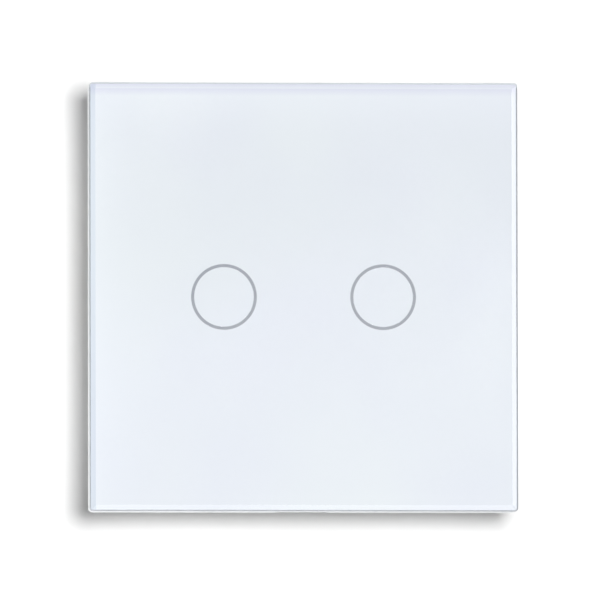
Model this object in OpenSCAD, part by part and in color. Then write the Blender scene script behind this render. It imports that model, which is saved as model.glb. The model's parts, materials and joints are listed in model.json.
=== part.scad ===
// Two-gang touch light switch for a square wall box.
// The glass face unclips from the base; the base carries the touch board in front of the wall and, in
// the wall box, a power board with two relays, its supply and four screw terminals.
// The pieces are modelled as if the switch lay on its back: x to the right, y up the wall, z out of the
// wall, with the wall's surface at z = 0. stand_up() turns them, so that +Z is up and the face looks
// along -Y. All sizes are in millimetres.

/* [Glass face] */
// Width and height of the square glass
face_size = 86; // [82:0.5:92]
// Thickness of the glass
glass_t = 4; // [3:0.5:6]
// Radius of the glass's corners, seen from the front
glass_corner_r = 0.8; // [0.5:0.1:2]
// Width of the ground bevel round the front edge
glass_bevel = 1; // [0.4:0.1:1.5]
// Width of the fine bevel round the back edge
glass_arris = 0.3; // [0.1:0.05:0.6]
// Thickness of the white printed film behind the glass
film_t = 0.2; // [0.1:0.05:0.4]
// Thickness of the adhesive tape between film and frame
tape_t = 0.3; // [0.2:0.05:0.6]
// Width of the tape's band
tape_band = 9; // [6:0.5:12]

/* [Touch rings] */
// Outer diameter of a ring mark
ring_d = 13.2; // [11:0.1:15]
// Width of a ring's line
ring_line = 0.6; // [0.4:0.1:1.2]
// Distance between the ring centres
ring_pitch = 32; // [29:0.5:36]

/* [Panel frame] */
// How far the frame's sides lie inside the glass edge
frame_inset = 0.1; // [0:0.05:0.4]
// Thickness of the frame's skirt
skirt_wall = 1.5; // [1.2:0.1:2.4]
// Thickness of the frame's web behind the glass
web_t = 1.2; // [1:0.1:2]
// Thickness of the ribs behind the web
rib_t = 1.2; // [0.8:0.1:2]
// Gap between the skirt and the wall
wall_gap = 0.3; // [0.1:0.1:0.6]
// Width of the notch for a screwdriver in the lower skirt
notch_w = 10; // [6:0.5:16]
// Height of that notch
notch_h = 1.6; // [1:0.1:2]
// Width of a snap tab
tab_w = 10; // [6:0.5:14]
// Thickness of a snap tab
tab_t = 1.1; // [0.8:0.1:1.6]
// Room behind a tab for it to bend
tab_room = 0.6; // [0.4:0.1:1.2]
// How far a tab's barb reaches into the base's rim
barb = 0.6; // [0.3:0.1:1]
// Distance from the middle to a tab
tab_x = 23; // [16:0.5:28]

/* [Base plate] */
// Thickness of the flange on the wall
flange_t = 2; // [1.8:0.1:3]
// Thickness of the upright rim
rim_wall = 1.6; // [1.2:0.1:2.4]
// Distance between the two wall-box screws
screw_pitch = 60.3; // [59:0.1:62]
// Width of a wall-screw slot
slot_w = 4.2; // [3.6:0.1:5]
// Length of a wall-screw slot
slot_len = 7; // [6:0.5:9]
// Diameter of a wall screw's head
wall_head_d = 7; // [6:0.5:8]
// Diameter of the posts that carry the rear cover
post_d = 4.4; // [4:0.1:6]
// How much wider a post is where the power board rests on it
post_step = 1; // [0.8:0.1:1.6]

/* [Boards] */
// Thickness of the touch board
touch_board_t = 1; // [0.8:0.1:1.6]
// Height of the touch board
touch_board_h = 44; // [42:0.5:50]
// Height of the bosses under the touch board
boss_h = 0.8; // [0.6:0.1:1.5]
// Space between the touch board and the film
sensor_gap = 3.2; // [3:0.1:5]
// Thickness of the power board
power_board_t = 1.6; // [1.2:0.1:2]
// Space between the flange and the power board
board_space = 4.5; // [4:0.1:7]
// Wire diameter of a touch spring
spring_wire = 0.5; // [0.4:0.05:0.6]
// Outer diameter of a touch spring
spring_d = 9.4; // [7:0.1:9.6]
// Turns in a touch spring's rising part
spring_turns = 1.75; // [1.25:0.25:2]

/* [Relays] */
// Length of a relay, up the wall
relay_len = 18.4; // [18:0.1:21]
// Width of a relay
relay_wid = 10.2; // [10:0.1:12.5]
// Height of a relay above the power board
relay_h = 15.3; // [14:0.1:18]
// Angle that an armature closes through, in degrees
pull_in = 3; // [2:0.5:4]

/* [Terminals] */
// Distance between neighbouring terminals
pole_pitch = 7.62; // [7.5:0.02:9]
// Diameter of a wire entry
wire_d = 3; // [2.6:0.1:3.6]
// Wall between a wire entry and the clamp
entry_wall = 2.4; // [2:0.1:4]
// Thread diameter of a terminal screw
clamp_screw_d = 3; // [2.5:0.5:3.5]

/* [Supply parts] */
// Width and length of the transformer
transformer_w = 13; // [11:0.5:15]
// Diameter of the bulk capacitor
bulk_cap_d = 9; // [8:0.5:10]
// Height of the bulk capacitor
bulk_cap_h = 13; // [10:0.5:14]
// Diameter of the output capacitor
out_cap_d = 6.3; // [5:0.1:8]
// Height of the output capacitor
out_cap_h = 11; // [9:0.5:13]
// Diameter of the choke
choke_d = 6.5; // [5:0.5:8]

/* [Rear cover] */
// Thickness of the cover's walls
box_wall = 1.6; // [1.4:0.1:2.5]
// Thickness of the cover's floor
box_floor = 2; // [1.6:0.1:3]
// Corner radius of the cover
box_r = 2.4; // [1:0.2:3]
// Width of the bevel round the cover's back
box_bevel = 0.8; // [0.4:0.1:1.2]
// Width of a ventilation slit
vent_w = 1.2; // [0.8:0.1:1.6]

/* [Hidden] */
$fn = 64;

// Fits and clearances
eps = 0.01;              // overlap that makes a cut or a joint between volumes clean
slip = 0.1;              // radial room for a lead in its hole, and for close sliding faces
fit = 0.2;               // room between pieces that drop into each other
rim_clear = 0.25;        // room between the base's rim and the panel frame
bay_clear = 0.3;         // room round the terminal row
part_gap = 1;            // room between neighbouring parts on the power board
seat_clear = 0.1;        // room where the panel seats on the base
screw_slip = 0.02;       // radial room of a self-tapping screw in its pilot hole
film_inset = 0.3;        // how far the film stops inside the glass edge
cover_seat = 0.5;        // depth of the recess in the flange's rear that locates the cover

// Levels out of the wall, from the wall to the face
z_board_back = flange_t + boss_h;
z_board = z_board_back + touch_board_t;
z_film_back = z_board + sensor_gap;
z_glass_back = z_film_back + film_t;
z_face = z_glass_back + glass_t;
z_web = z_film_back - tape_t;
z_web_back = z_web - web_t;
z_rim = z_web_back - seat_clear;

// Levels into the wall
z_power = -board_space;
z_power_rear = z_power - power_board_t;
headroom = 1;
z_floor = z_power_rear - relay_h - headroom;
box_depth = box_floor - z_floor;

// Panel frame and base outlines
frame_size = face_size - 2 * frame_inset;
skirt_in = frame_size / 2 - skirt_wall;
tab_out = skirt_in - tab_room;
tab_in = tab_out - tab_t;
rim_out = tab_in - rim_clear;
rim_in = rim_out - rim_wall;
base_r = 2;
barb_z = [flange_t + 0.3, flange_t + 1.7];

// Touch board
guide_lap = 0.6;
guide_d = ring_d + 2 * guide_lap;
guide_bore_d = ring_d - 2 * ring_line - 2 * guide_lap;
guide_r = (guide_d + guide_bore_d) / 4;
guide_window_d = guide_d + 4 * fit;
board_margin = 1.6;
touch_board_w = ring_pitch + guide_d + 2 * board_margin;
board_screw_d = 2;
board_screw_head = [3.6, 1.2];
board_screw_x = touch_board_w / 2 - 2.8;
board_screw_y = touch_board_h / 2 - 2.8;
board_boss_d = 5.6;
pilot_floor = cover_seat + 0.3;
peg_d = 1.2;
led = [2, 1.25, 0.8];
touch_chip_size = [9.9, 3.9, 1.4];
chip_pitch = 1.27;
passive = [1.6, 0.8, 0.5];
passive_pitch = 4;
passive_row = 2.4;
passive_y = 10;

// Link between the boards
link_count = 6;
link_pitch = 2.54;
link_pin = 0.6;
link_strip = [link_count * link_pitch, 2.4, 1.6];
link_socket_h = board_space - 0.3;

// Leads of the parts on the power board
lead_d = 0.8;
lead_stub = 0.8;
bar_pin_d = 1.2;

// Terminals: heights above the power board
pole_count = 4;
pole_gap = 0.1;
cage_wall = 0.7;
cage_slip = 0.15;
cage_w = wire_d + 2 * slip + 2 * cage_wall;
cage_d = 4.4;
cage_low = 0.8;
cage_plate = 0.8;
cage_top_plate = 1.2;
wire_h = cage_low + cage_plate + wire_d / 2;
bar_t = 0.8;
bar_w = wire_d;
bar_h = wire_h + wire_d / 2;
screw_tip_h = bar_h + bar_t + slip;
cage_top_h = bar_h + bar_t + fit;
cage_h = cage_top_h + cage_top_plate - cage_low;
cage_travel = wire_d - fit;
well_top = cage_low + cage_h + cage_travel + fit;
shelf_t = 0.9;
clamp_head_d = clamp_screw_d + 0.9;
clamp_head_h = 1.8;
head_seat_h = well_top + shelf_t;
pole_h = head_seat_h + clamp_head_h + 0.4;
well_y = [entry_wall, entry_wall + cage_d + 2 * cage_slip];
bar_leg_y = [well_y[1] + slip, well_y[1] + slip + bar_t];
pole_back_wall = 1.2;
pole_depth = bar_leg_y[1] + slip + pole_back_wall;
function pole_x(i) = (i - (pole_count + 1) / 2) * pole_pitch;

// Rear cover: rows of parts up the wall, and what they need across
partition_t = 1.4;
row_gap = 0.8;
varistor = [7, 3.6, 9];
fuse = [8.4, 4.2, 7.8];
film_cap = [6, 11, 11];
bridge = [4.7, 4, 2.4];
bridge_pitch = 2.5;
power_chip_size = [4.9, 3.9, 1.5];
supply_row = max(transformer_w, varistor[1] + fuse[1] + part_gap, choke_d, out_cap_d) + 0.4;
pole_inset = 0.3;
box_h = pole_inset + pole_depth + bay_clear + partition_t + row_gap + supply_row + row_gap
    + relay_len + row_gap + box_wall;
box_low = -box_h / 2;
pole_y = box_low + pole_inset;
bay_top = pole_y + pole_depth + bay_clear;
supply_y = bay_top + partition_t + row_gap + supply_row / 2;
transformer_lead_y = transformer_w / 2 - 1;
link_y = supply_y - transformer_lead_y - lead_d - link_strip[1] / 2;
relay_row_y = supply_y + supply_row / 2 + row_gap;
relay_y = relay_row_y + relay_len / 2;
relay_split = 0.9;
relay_x = relay_split + relay_wid / 2;
bay_half = pole_count * pole_pitch / 2 + bay_clear;
post_wide_r = post_d / 2 + post_step;
post_x = max(bay_half + partition_t + 0.8 + post_d / 2, relay_x + relay_wid / 2 + part_gap + post_d / 2);
choke_x = transformer_w / 2 + part_gap + choke_d / 2;
out_cap_x = transformer_w / 2 + part_gap + out_cap_d / 2;
side_left_x = choke_x + choke_d / 2 + part_gap + max(varistor[0], fuse[0]) / 2;
side_right_x = out_cap_x + out_cap_d / 2 + part_gap + 3.2;
column_x = relay_x + relay_wid / 2 + part_gap;
box_in = max(post_x + post_wide_r + fit, side_left_x + fuse[0] / 2 + 0.4, side_right_x + 3.6,
    column_x + bulk_cap_d + 0.4);
box_w = 2 * (box_in + box_wall);
post_y = box_h / 2 - box_wall - post_wide_r - fit;

// Rear cover screws
cover_screw_d = 2.5;
cover_head = [4.6, 1.6];
head_recess = cover_head[1] + 0.2;
head_floor = 1.4;
z_head_seat = -box_depth + head_recess;
z_post_end = z_head_seat + head_floor;
cover_screw_len = 8;

// Relay: heights above the power board, and places along its length
relay_wall = 0.7;
relay_base_t = 1.6;
yoke_t = 1;
yoke_w = relay_wid - 2 * relay_wall - 1.8;
armature_t = 1;
leaf_t = 0.3;
rivet_h = 0.3;
hinge_lift = 0.05;
hinge_h = relay_h - relay_wall - rivet_h - leaf_t - armature_t - 0.5;
hinge_r = yoke_t / 2;
relay_in = relay_len / 2 - relay_wall;
hinge_y = -relay_in + 0.3 + yoke_t / 2;
flange_half = (relay_wid / 2 - relay_wall) - 0.5;
core_r = 1.8;
shoe_r = 2.8;
shoe_t = 0.6;
core_y = hinge_y + yoke_t / 2 + 0.3 + flange_half;
core_top = hinge_h + hinge_lift - (core_y + shoe_r - hinge_y) * sin(pull_in) - 0.05;
bobbin_low = relay_base_t + yoke_t;
bobbin_top = core_top - shoe_t - slip;
bobbin_flange = 0.8;
coil_r = flange_half - 0.3;
contact_r = 1.1;
contact_h = 0.9;
contact_y = relay_in - 1.3 - contact_r;
contact_low = hinge_h + hinge_lift + armature_t - contact_h;
fixed_top = contact_low - (contact_y + contact_r - hinge_y) * sin(pull_in) - 0.05;
coil_lead = [min(3.2, flange_half), core_y + flange_half + 1.2];
strip_t = 0.6;
strip_y = relay_in - 0.6;
fixed_lead_y = strip_y - strip_t / 2;

// Where leads go through the power board: [x, y, diameter]
relay_lead_places = [[0, hinge_y], [0, fixed_lead_y], [-coil_lead[0], coil_lead[1]], coil_lead];
function relay_leads(s) = [for (p = relay_lead_places) [s * relay_x + p[0], relay_y + p[1], lead_d]];
function pair_leads(x, y, reach) = [[x - reach, y, lead_d], [x + reach, y, lead_d]];
film_cap_place = [-column_x - film_cap[0] / 2, relay_row_y + film_cap[1] / 2];
bulk_cap_place = [column_x + bulk_cap_d / 2, relay_row_y + bulk_cap_d / 2];
varistor_place = [-side_left_x, supply_y + supply_row / 2 - varistor[1] / 2];
fuse_place = [-side_left_x, supply_y - supply_row / 2 + fuse[1] / 2];
transformer_leads = [
    for (sx = [-1:1], sy = [-1, 1]) [sx * transformer_w / 3, sy * transformer_lead_y]
];
lead_places = concat(
    relay_leads(-1), relay_leads(1),
    [for (i = [1:pole_count]) [pole_x(i), pole_y + (bar_leg_y[0] + bar_leg_y[1]) / 2, bar_pin_d]],
    [for (p = transformer_leads) [p[0], supply_y + p[1], lead_d]],
    pair_leads(bulk_cap_place[0], bulk_cap_place[1], bulk_cap_d / 4),
    pair_leads(out_cap_x, supply_y, out_cap_d / 4),
    pair_leads(-choke_x, supply_y, choke_d / 4),
    pair_leads(varistor_place[0], varistor_place[1], varistor[0] / 3),
    pair_leads(fuse_place[0], fuse_place[1], fuse[0] / 3),
    [for (s = [-1, 1]) [film_cap_place[0], film_cap_place[1] + s * film_cap[1] / 3, lead_d]]
);

// Shared shapes

module stand_up() {
    rotate([90, 0, 0]) children();
}

// Children in a frame on the power board's rear face, with +z into the wall box and x mirrored
module on_power_board(x, y) {
    translate([x, y, z_power_rear]) rotate([0, 180, 0]) children();
}

module at_corners(x, y) {
    for (sx = [-1, 1], sy = [-1, 1]) translate([sx * x, sy * y, 0]) children();
}

module rounded_rect(w, h, r) {
    square([w - 2 * r, h], center = true);
    square([w, h - 2 * r], center = true);
    for (sx = [-1, 1], sy = [-1, 1]) translate([sx * (w / 2 - r), sy * (h / 2 - r)]) circle(r);
}

module plate(w, h, r, z0, z1) {
    translate([0, 0, z0]) linear_extrude(z1 - z0) rounded_rect(w, h, r);
}

// A box from its two opposite corners
module block(a, b) {
    translate(a) cube(b - a);
}

// A box that stands on z0, centred in x and y
module standing_block(w, d, z0, z1) {
    translate([-w / 2, -d / 2, z0]) cube([w, d, z1 - z0]);
}

module peg(d, z0, z1) {
    translate([0, 0, z0]) cylinder(d = d, h = z1 - z0);
}

module slot_outline(len, wid) {
    square([len - wid, wid], center = true);
    for (s = [-1, 1]) translate([s * (len - wid) / 2, 0]) circle(d = wid);
}

// A part's lead, from its body down through the power board
module lead(d, z_top) {
    peg(d, -power_board_t - lead_stub, z_top);
}

module pan_screw(d, head, len, z_seat) {
    translate([0, 0, z_seat]) {
        difference() {
            cylinder(d1 = head[0], d2 = head[0] * 0.8, h = head[1]);
            for (a = [0, 90]) rotate(a)
                standing_block(head[0] * 0.55, head[0] * 0.14, head[1] / 2, head[1] + eps);
        }
        translate([0, 0, -len]) cylinder(d = d, h = len + eps);
    }
}

// A can with rounded shoulders, a crimped groove above its foot and two leads
module can_capacitor(d, h) {
    groove_h = 1.6;
    groove = 0.3;
    shoulder = 0.6;
    rotate_extrude() polygon(concat(
        [[0, 0], [d / 2, 0], [d / 2, groove_h - groove], [d / 2 - groove, groove_h],
            [d / 2, groove_h + groove]],
        [for (a = [0:30:90]) [d / 2 - shoulder + shoulder * cos(a), h - shoulder + shoulder * sin(a)]],
        [[0, h]]
    ));
    for (s = [-1, 1]) translate([s * d / 4, 0, 0]) lead(lead_d, eps);
}

// A small-outline chip that lies in x and y, with leads along both long sides
module chip(size, per_side, pitch) {
    wid = size[1];
    high = size[2];
    lift = 0.15;
    lead_t = 0.2;
    lead_w = 0.42;
    foot = 0.7;
    knee = wid / 2 + 0.45;
    shoulder = (high - lead_t) / 2;
    standing_block(size[0], wid, lift, high);
    for (i = [0:per_side - 1], s = [0, 180]) rotate(s) translate([(i - (per_side - 1) / 2) * pitch, 0, 0]) {
        block([-lead_w / 2, knee, 0], [lead_w / 2, knee + foot, lead_t]);
        block([-lead_w / 2, knee, 0], [lead_w / 2, knee + lead_t, shoulder + lead_t]);
        block([-lead_w / 2, wid / 2 - eps, shoulder], [lead_w / 2, knee + lead_t, shoulder + lead_t]);
    }
}

// Sweep of a round wire along a path, with a frame that doesn't twist

function unit(v) = v / norm(v);
function path_tangents(p) = [
    for (i = [0:len(p) - 1]) unit(p[min(i + 1, len(p) - 1)] - p[max(i - 1, 0)])
];
function carried(n, t) = unit(n - t * (n * t));
function path_normals(t, i, n) =
    i == len(t) ? [] : let (m = carried(n, t[i])) concat([m], path_normals(t, i + 1, m));

module wire(p, d, sides) {
    t = path_tangents(p);
    n = path_normals(t, 0, [1, 0.1, 0]);
    last = len(p) - 1;
    points = [
        for (i = [0:last], k = [0:sides - 1])
            let (a = 360 * k / sides)
            p[i] + d / 2 * (cos(a) * n[i] + sin(a) * cross(t[i], n[i]))
    ];
    sides_faces = [
        for (i = [0:last - 1], k = [0:sides - 1], half = [0, 1])
            let (a = i * sides + k, b = i * sides + (k + 1) % sides)
            half == 0 ? [a, a + sides, b] : [b, a + sides, b + sides]
    ];
    cap_faces = [
        for (k = [1:sides - 2]) [0, k, k + 1],
        for (k = [1:sides - 2]) [last * sides, last * sides + k + 1, last * sides + k]
    ];
    polyhedron(points, concat(sides_faces, cap_faces));
}

// Touch spring: a leg through the board, a bend, rising turns and a flat coil that turns in at the top

spring_r = (spring_d - spring_wire) / 2;
spring_bend = 0.6;
spring_leg = touch_board_t + 0.6;
spring_low = spring_wire / 2 + spring_bend;
spring_top = sensor_gap - 0.05 - spring_wire / 2;
spring_flat = 0.75;
spring_turn_in = 1.2;
spring_rings = 16;
function spring_radius(u) = spring_r - spring_turn_in * max(0, u - spring_turns) / spring_flat;
function spring_height(u) = spring_low + (spring_top - spring_low) * min(1, u / spring_turns);
spring_path = concat(
    [[spring_r, -spring_bend, -spring_leg], [spring_r, -spring_bend, -spring_leg / 2]],
    [for (a = [0:22.5:67.5])
        [spring_r, -spring_bend * cos(a), spring_wire / 2 + spring_bend * sin(a)]],
    [for (i = [0:round((spring_turns + spring_flat) * spring_rings)])
        let (u = i / spring_rings)
        [spring_radius(u) * cos(360 * u), spring_radius(u) * sin(360 * u), spring_height(u)]]
);
function spring_gap() = min([
    for (i = [0:len(spring_path) - 1], j = [i + 1:1:len(spring_path) - 1])
        if (j - i > spring_rings / 2) norm(spring_path[i] - spring_path[j]) - spring_wire
]);

// The glass face and what is bonded to it

// Cross-section of the glass, with the bevel round its front and the arris round its back
module glass_section() {
    half = face_size / 2;
    polygon([
        [-half + glass_arris, z_glass_back], [half - glass_arris, z_glass_back],
        [half, z_glass_back + glass_arris], [half, z_face - glass_bevel],
        [half - glass_bevel, z_face], [-half + glass_bevel, z_face],
        [-half, z_face - glass_bevel], [-half, z_glass_back + glass_arris]
    ]);
}

// Each edge is ground straight, so the bevels meet in mitres at the corners
module glass_panel() {
    color("aliceblue") intersection() {
        plate(face_size, face_size, glass_corner_r, z_glass_back - eps, z_face + eps);
        rotate([90, 0, 0]) linear_extrude(face_size + 2, center = true) glass_section();
        rotate([90, 0, 90]) linear_extrude(face_size + 2, center = true) glass_section();
    }
}

module at_rings() {
    for (s = [-1, 1]) translate([s * ring_pitch / 2, 0, 0]) children();
}

module ring_tube(outer, inner, z0, z1) {
    translate([0, 0, z0]) linear_extrude(z1 - z0) difference() {
        circle(d = outer);
        circle(d = inner);
    }
}

module printed_film() {
    film_size = face_size - 2 * film_inset;
    color("white") difference() {
        plate(film_size, film_size, glass_corner_r, z_film_back, z_glass_back);
        at_rings() ring_tube(ring_d, ring_d - 2 * ring_line, z_film_back - eps, z_glass_back + eps);
    }
}

module ring_marks() {
    color("silver") at_rings() ring_tube(ring_d, ring_d - 2 * ring_line, z_film_back, z_glass_back);
}

module panel_tape() {
    tape_size = 2 * (skirt_in - fit);
    color("gainsboro") difference() {
        plate(tape_size, tape_size, 1, z_web, z_film_back);
        plate(tape_size - 2 * tape_band, tape_size - 2 * tape_band, 1, z_web - eps, z_film_back + eps);
    }
}

// Ribs behind the web, clear of the touch board, and ribs that centre the frame on the base's rim
module frame_ribs() {
    rib_low = flange_t + 0.8;
    long_y = touch_board_h / 2 + 3;
    reach = rim_in - 2 * fit;
    centring_y = 20;
    for (s = [-1, 1]) {
        block([-reach, s * long_y - rib_t / 2, rib_low], [reach, s * long_y + rib_t / 2, z_web_back + eps]);
        for (x = [-1, 1]) {
            end = x * ring_pitch / 2;
            block([end - rib_t / 2, min(s * long_y, s * reach), rib_low],
                [end + rib_t / 2, max(s * long_y, s * reach), z_web_back + eps]);
            rotate(s > 0 ? 0 : 180) block([rim_out + rim_clear, x * centring_y - rib_t, flange_t],
                [skirt_in + eps, x * centring_y + rib_t, z_web_back + eps]);
        }
    }
}

module panel_frame() {
    inner = 2 * skirt_in;
    color("whitesmoke") difference() {
        union() {
            difference() {
                plate(frame_size, frame_size, glass_corner_r, wall_gap, z_film_back);
                plate(inner, inner, 0.6, wall_gap - eps, z_web_back);
                plate(inner, inner, 0.6, z_web, z_film_back + eps);
            }
            frame_ribs();
        }
        at_rings() peg(guide_window_d, z_web_back - 4, z_web + eps);
        block([-notch_w / 2, -frame_size / 2 - eps, wall_gap - eps],
            [notch_w / 2, -skirt_in + eps, wall_gap + notch_h]);
    }
}

// A tab hangs from the web; its barb has a lead-in below and a gentler slope above, to pull out again
module snap_tab() {
    reach = rim_clear + barb;
    low = barb_z[0] + fit;
    high = barb_z[1] - fit;
    lead_in = 2 * fit;
    tip = 0.4;
    rotate([90, 0, 90]) translate([0, 0, -tab_w / 2]) linear_extrude(tab_w) polygon([
        [tab_out, z_web_back], [tab_out, low - lead_in], [tab_in, low - lead_in], [tab_in - reach, low],
        [tab_in - reach, low + tip], [tab_in, high], [tab_in, z_web_back]
    ]);
}

module snap_tabs() {
    color("whitesmoke") for (x = [-1, 1], a = [0, 180]) rotate(a) translate([x * tab_x, 0, 0]) snap_tab();
}

// The base and the touch board in front of the wall

module wall_slots(len, wid, z0, z1) {
    for (s = [-1, 1]) translate([s * screw_pitch / 2, 0, z0])
        linear_extrude(z1 - z0) slot_outline(len, wid);
}

module base_plate() {
    lip_t = 1.2;
    lip_h = 1.6;
    lip = [2 * box_in - 2 * fit, box_h - 2 * box_wall - 2 * fit];
    lip_r = max(box_r - box_wall, 0.4);
    rear = cover_seat + eps;
    color("white") difference() {
        union() {
            difference() {
                plate(2 * rim_out, 2 * rim_out, base_r, 0, flange_t);
                plate(box_w + 2 * fit, box_h + 2 * fit, box_r, -eps, cover_seat);
            }
            difference() {
                plate(2 * rim_out, 2 * rim_out, base_r, flange_t - eps, z_rim);
                plate(2 * rim_in, 2 * rim_in, 0.8, flange_t - 2 * eps, z_rim + eps);
            }
            at_corners(board_screw_x, board_screw_y) peg(board_boss_d, flange_t - eps, z_board_back);
            difference() {
                plate(lip[0], lip[1], lip_r, -lip_h, rear);
                plate(lip[0] - 2 * lip_t, lip[1] - 2 * lip_t, lip_r, -lip_h - eps, rear + eps);
            }
            at_corners(post_x, post_y) {
                peg(2 * post_wide_r, z_power, rear);
                peg(post_d, z_post_end, rear);
            }
        }
        wall_slots(slot_len, slot_w, -eps, flange_t + eps);
        at_corners(board_screw_x, board_screw_y)
            peg(board_screw_d + 2 * screw_slip, pilot_floor, z_board_back + eps);
        at_corners(post_x, post_y)
            peg(cover_screw_d + 2 * screw_slip, z_post_end - eps, z_head_seat + cover_screw_len + 0.5);
        for (x = [-1, 1], s = [-1, 1])
            block([x * tab_x - tab_w / 2 - fit, s > 0 ? rim_in - eps : -rim_out - eps, barb_z[0] - fit],
                [x * tab_x + tab_w / 2 + fit, s > 0 ? rim_out + eps : -rim_in + eps, barb_z[1] + fit]);
        block([-link_strip[0] / 2 - fit, link_y - link_strip[1] / 2 - fit, -eps],
            [link_strip[0] / 2 + fit, link_y + link_strip[1] / 2 + fit, flange_t + eps]);
    }
}

function link_x(i) = (i - (link_count - 1) / 2) * link_pitch;

module at_link_pins() {
    for (i = [0:link_count - 1]) translate([link_x(i), link_y, 0]) children();
}

module touch_board() {
    low = z_board_back - eps;
    high = z_board + eps;
    head_room = wall_head_d + 1;
    color("seagreen") difference() {
        plate(touch_board_w, touch_board_h, 1.5, z_board_back, z_board);
        wall_slots(slot_len - slot_w + head_room, head_room, low, high);
        at_corners(board_screw_x, board_screw_y) peg(board_screw_d + 2 * fit, low, high);
        at_link_pins() standing_block(link_pin + 2 * slip, link_pin + 2 * slip, low, high);
        at_rings() {
            translate([spring_r, -spring_bend, 0]) peg(spring_wire + 2 * slip, low, high);
            for (s = [-1, 1]) translate([s * guide_r, 0, 0]) peg(peg_d + 2 * slip, low, high);
        }
    }
}

module touch_spring(s) {
    color("goldenrod") translate([s * ring_pitch / 2, 0, z_board]) wire(spring_path, spring_wire, 6);
    echo(spring_gap_to_itself = spring_gap());
}

// A translucent tube from the board to the film, with pockets over its indicators and two pegs
module light_guide(s) {
    pocket = led + [0.6, 4, 0.3];
    color("ghostwhite") translate([s * ring_pitch / 2, 0, 0]) {
        difference() {
            ring_tube(guide_d, guide_bore_d, z_board, z_film_back - seat_clear);
            for (side = [-1, 1]) translate([0, side * guide_r, 0])
                standing_block(pocket[0], pocket[1], z_board - eps, z_board + pocket[2]);
        }
        for (side = [-1, 1]) translate([side * guide_r, 0, 0]) peg(peg_d, z_board_back, z_board + eps);
    }
}

module indicator_leds() {
    color("lightyellow") at_rings() for (side = [-1, 1]) translate([0, side * guide_r, 0])
        standing_block(led[0], led[1], z_board, z_board + led[2]);
}

module touch_chip() {
    color("dimgray") translate([0, 0, z_board]) chip(touch_chip_size, 8, chip_pitch);
}

module touch_passives() {
    stagger = 0.3 * passive_pitch;
    color("tan") for (row = [0:2], i = [-4:4])
        translate([i * passive_pitch + (row % 2) * stagger, passive_y + row * passive_row, z_board])
            standing_block(passive[0], passive[1], 0, passive[2]);
}

module touch_board_screws() {
    color("silver") at_corners(board_screw_x, board_screw_y)
        pan_screw(board_screw_d, board_screw_head, z_board - pilot_floor - slip, z_board);
}

// The link from the touch board to the power board

module link_header() {
    hole = link_pin + 2 * screw_slip;
    low = z_board_back - link_strip[2];
    color("black") difference() {
        translate([0, link_y, 0]) standing_block(link_strip[0], link_strip[1], low, z_board_back);
        at_link_pins() standing_block(hole, hole, low - eps, z_board_back + eps);
    }
}

module link_pins() {
    color("gold") at_link_pins() standing_block(link_pin, link_pin, z_power + 0.6, z_board + 0.8);
}

module link_socket() {
    hole = link_pin + 2 * slip;
    top = z_power + link_socket_h;
    color("black") difference() {
        translate([0, link_y, 0]) standing_block(link_strip[0], link_strip[1], z_power, top);
        at_link_pins() standing_block(hole, hole, z_power + 0.5, top + eps);
    }
}

// The power board

module power_board() {
    board = [2 * box_in - 5 * fit, box_h - 2 * box_wall - 5 * fit];
    color("darkolivegreen") difference() {
        plate(board[0], board[1], 1, z_power_rear, z_power);
        at_corners(post_x, post_y) peg(post_d + 2 * fit, z_power_rear - eps, z_power + eps);
        for (p = lead_places) translate([p[0], p[1], 0])
            peg(p[2] + 2 * slip, z_power_rear - eps, z_power + eps);
    }
}

// A relay, standing on the power board; its armature rocks on the yoke's round end, at the lower side

module on_relay(s) {
    on_power_board(s * relay_x, relay_y) children();
}

module relay_cover(s) {
    color("midnightblue") on_relay(s) difference() {
        plate(relay_wid, relay_len, 0.8, 0, relay_h);
        plate(relay_wid - 2 * relay_wall, relay_len - 2 * relay_wall, 0.3, -eps, relay_h - relay_wall);
    }
}

module relay_base(s) {
    inside = 2 * (relay_wall + slip);
    color("dimgray") on_relay(s) difference() {
        plate(relay_wid - inside, relay_len - inside, 0.3, 0, relay_base_t);
        for (p = relay_lead_places) translate([p[0], p[1], 0])
            peg(lead_d + 2 * slip, -eps, relay_base_t + eps);
    }
}

module relay_bobbin(s) {
    tube_r = core_r + 0.7;
    color("ivory") on_relay(s) translate([0, core_y, 0]) difference() {
        union() {
            standing_block(2 * flange_half, 2 * flange_half, bobbin_low, bobbin_low + bobbin_flange);
            standing_block(2 * flange_half, 2 * flange_half, bobbin_top - bobbin_flange, bobbin_top);
            peg(2 * tube_r, bobbin_low, bobbin_top);
        }
        peg(2 * (core_r + 0.05), bobbin_low - eps, bobbin_top + eps);
    }
}

// The copper winding, and the two leads that it is soldered to
module relay_coil(s) {
    inner_r = core_r + 0.75;
    color("chocolate") on_relay(s) {
        translate([0, core_y, 0]) ring_tube(2 * coil_r, 2 * inner_r,
            bobbin_low + bobbin_flange + 0.05, bobbin_top - bobbin_flange - 0.05);
        for (x = [-1, 1]) translate([x * coil_lead[0], coil_lead[1], 0]) lead(lead_d, relay_base_t + 1.5);
    }
}

module relay_yoke(s) {
    back = hinge_y - yoke_t / 2;
    color("silver") on_relay(s) {
        block([-yoke_w / 2, back, relay_base_t], [yoke_w / 2, back + yoke_t, hinge_h - hinge_r]);
        translate([0, hinge_y, hinge_h - hinge_r]) rotate([0, 90, 0])
            cylinder(r = hinge_r, h = yoke_w, center = true);
        block([-yoke_w / 2, back, relay_base_t],
            [yoke_w / 2, core_y + core_r + 0.6, relay_base_t + yoke_t]);
        translate([0, core_y, 0]) {
            peg(2 * core_r, relay_base_t + eps, core_top);
            peg(2 * shoe_r, core_top - shoe_t, core_top);
        }
        translate([0, hinge_y, 0]) lead(lead_d, relay_base_t + eps);
    }
}

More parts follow.
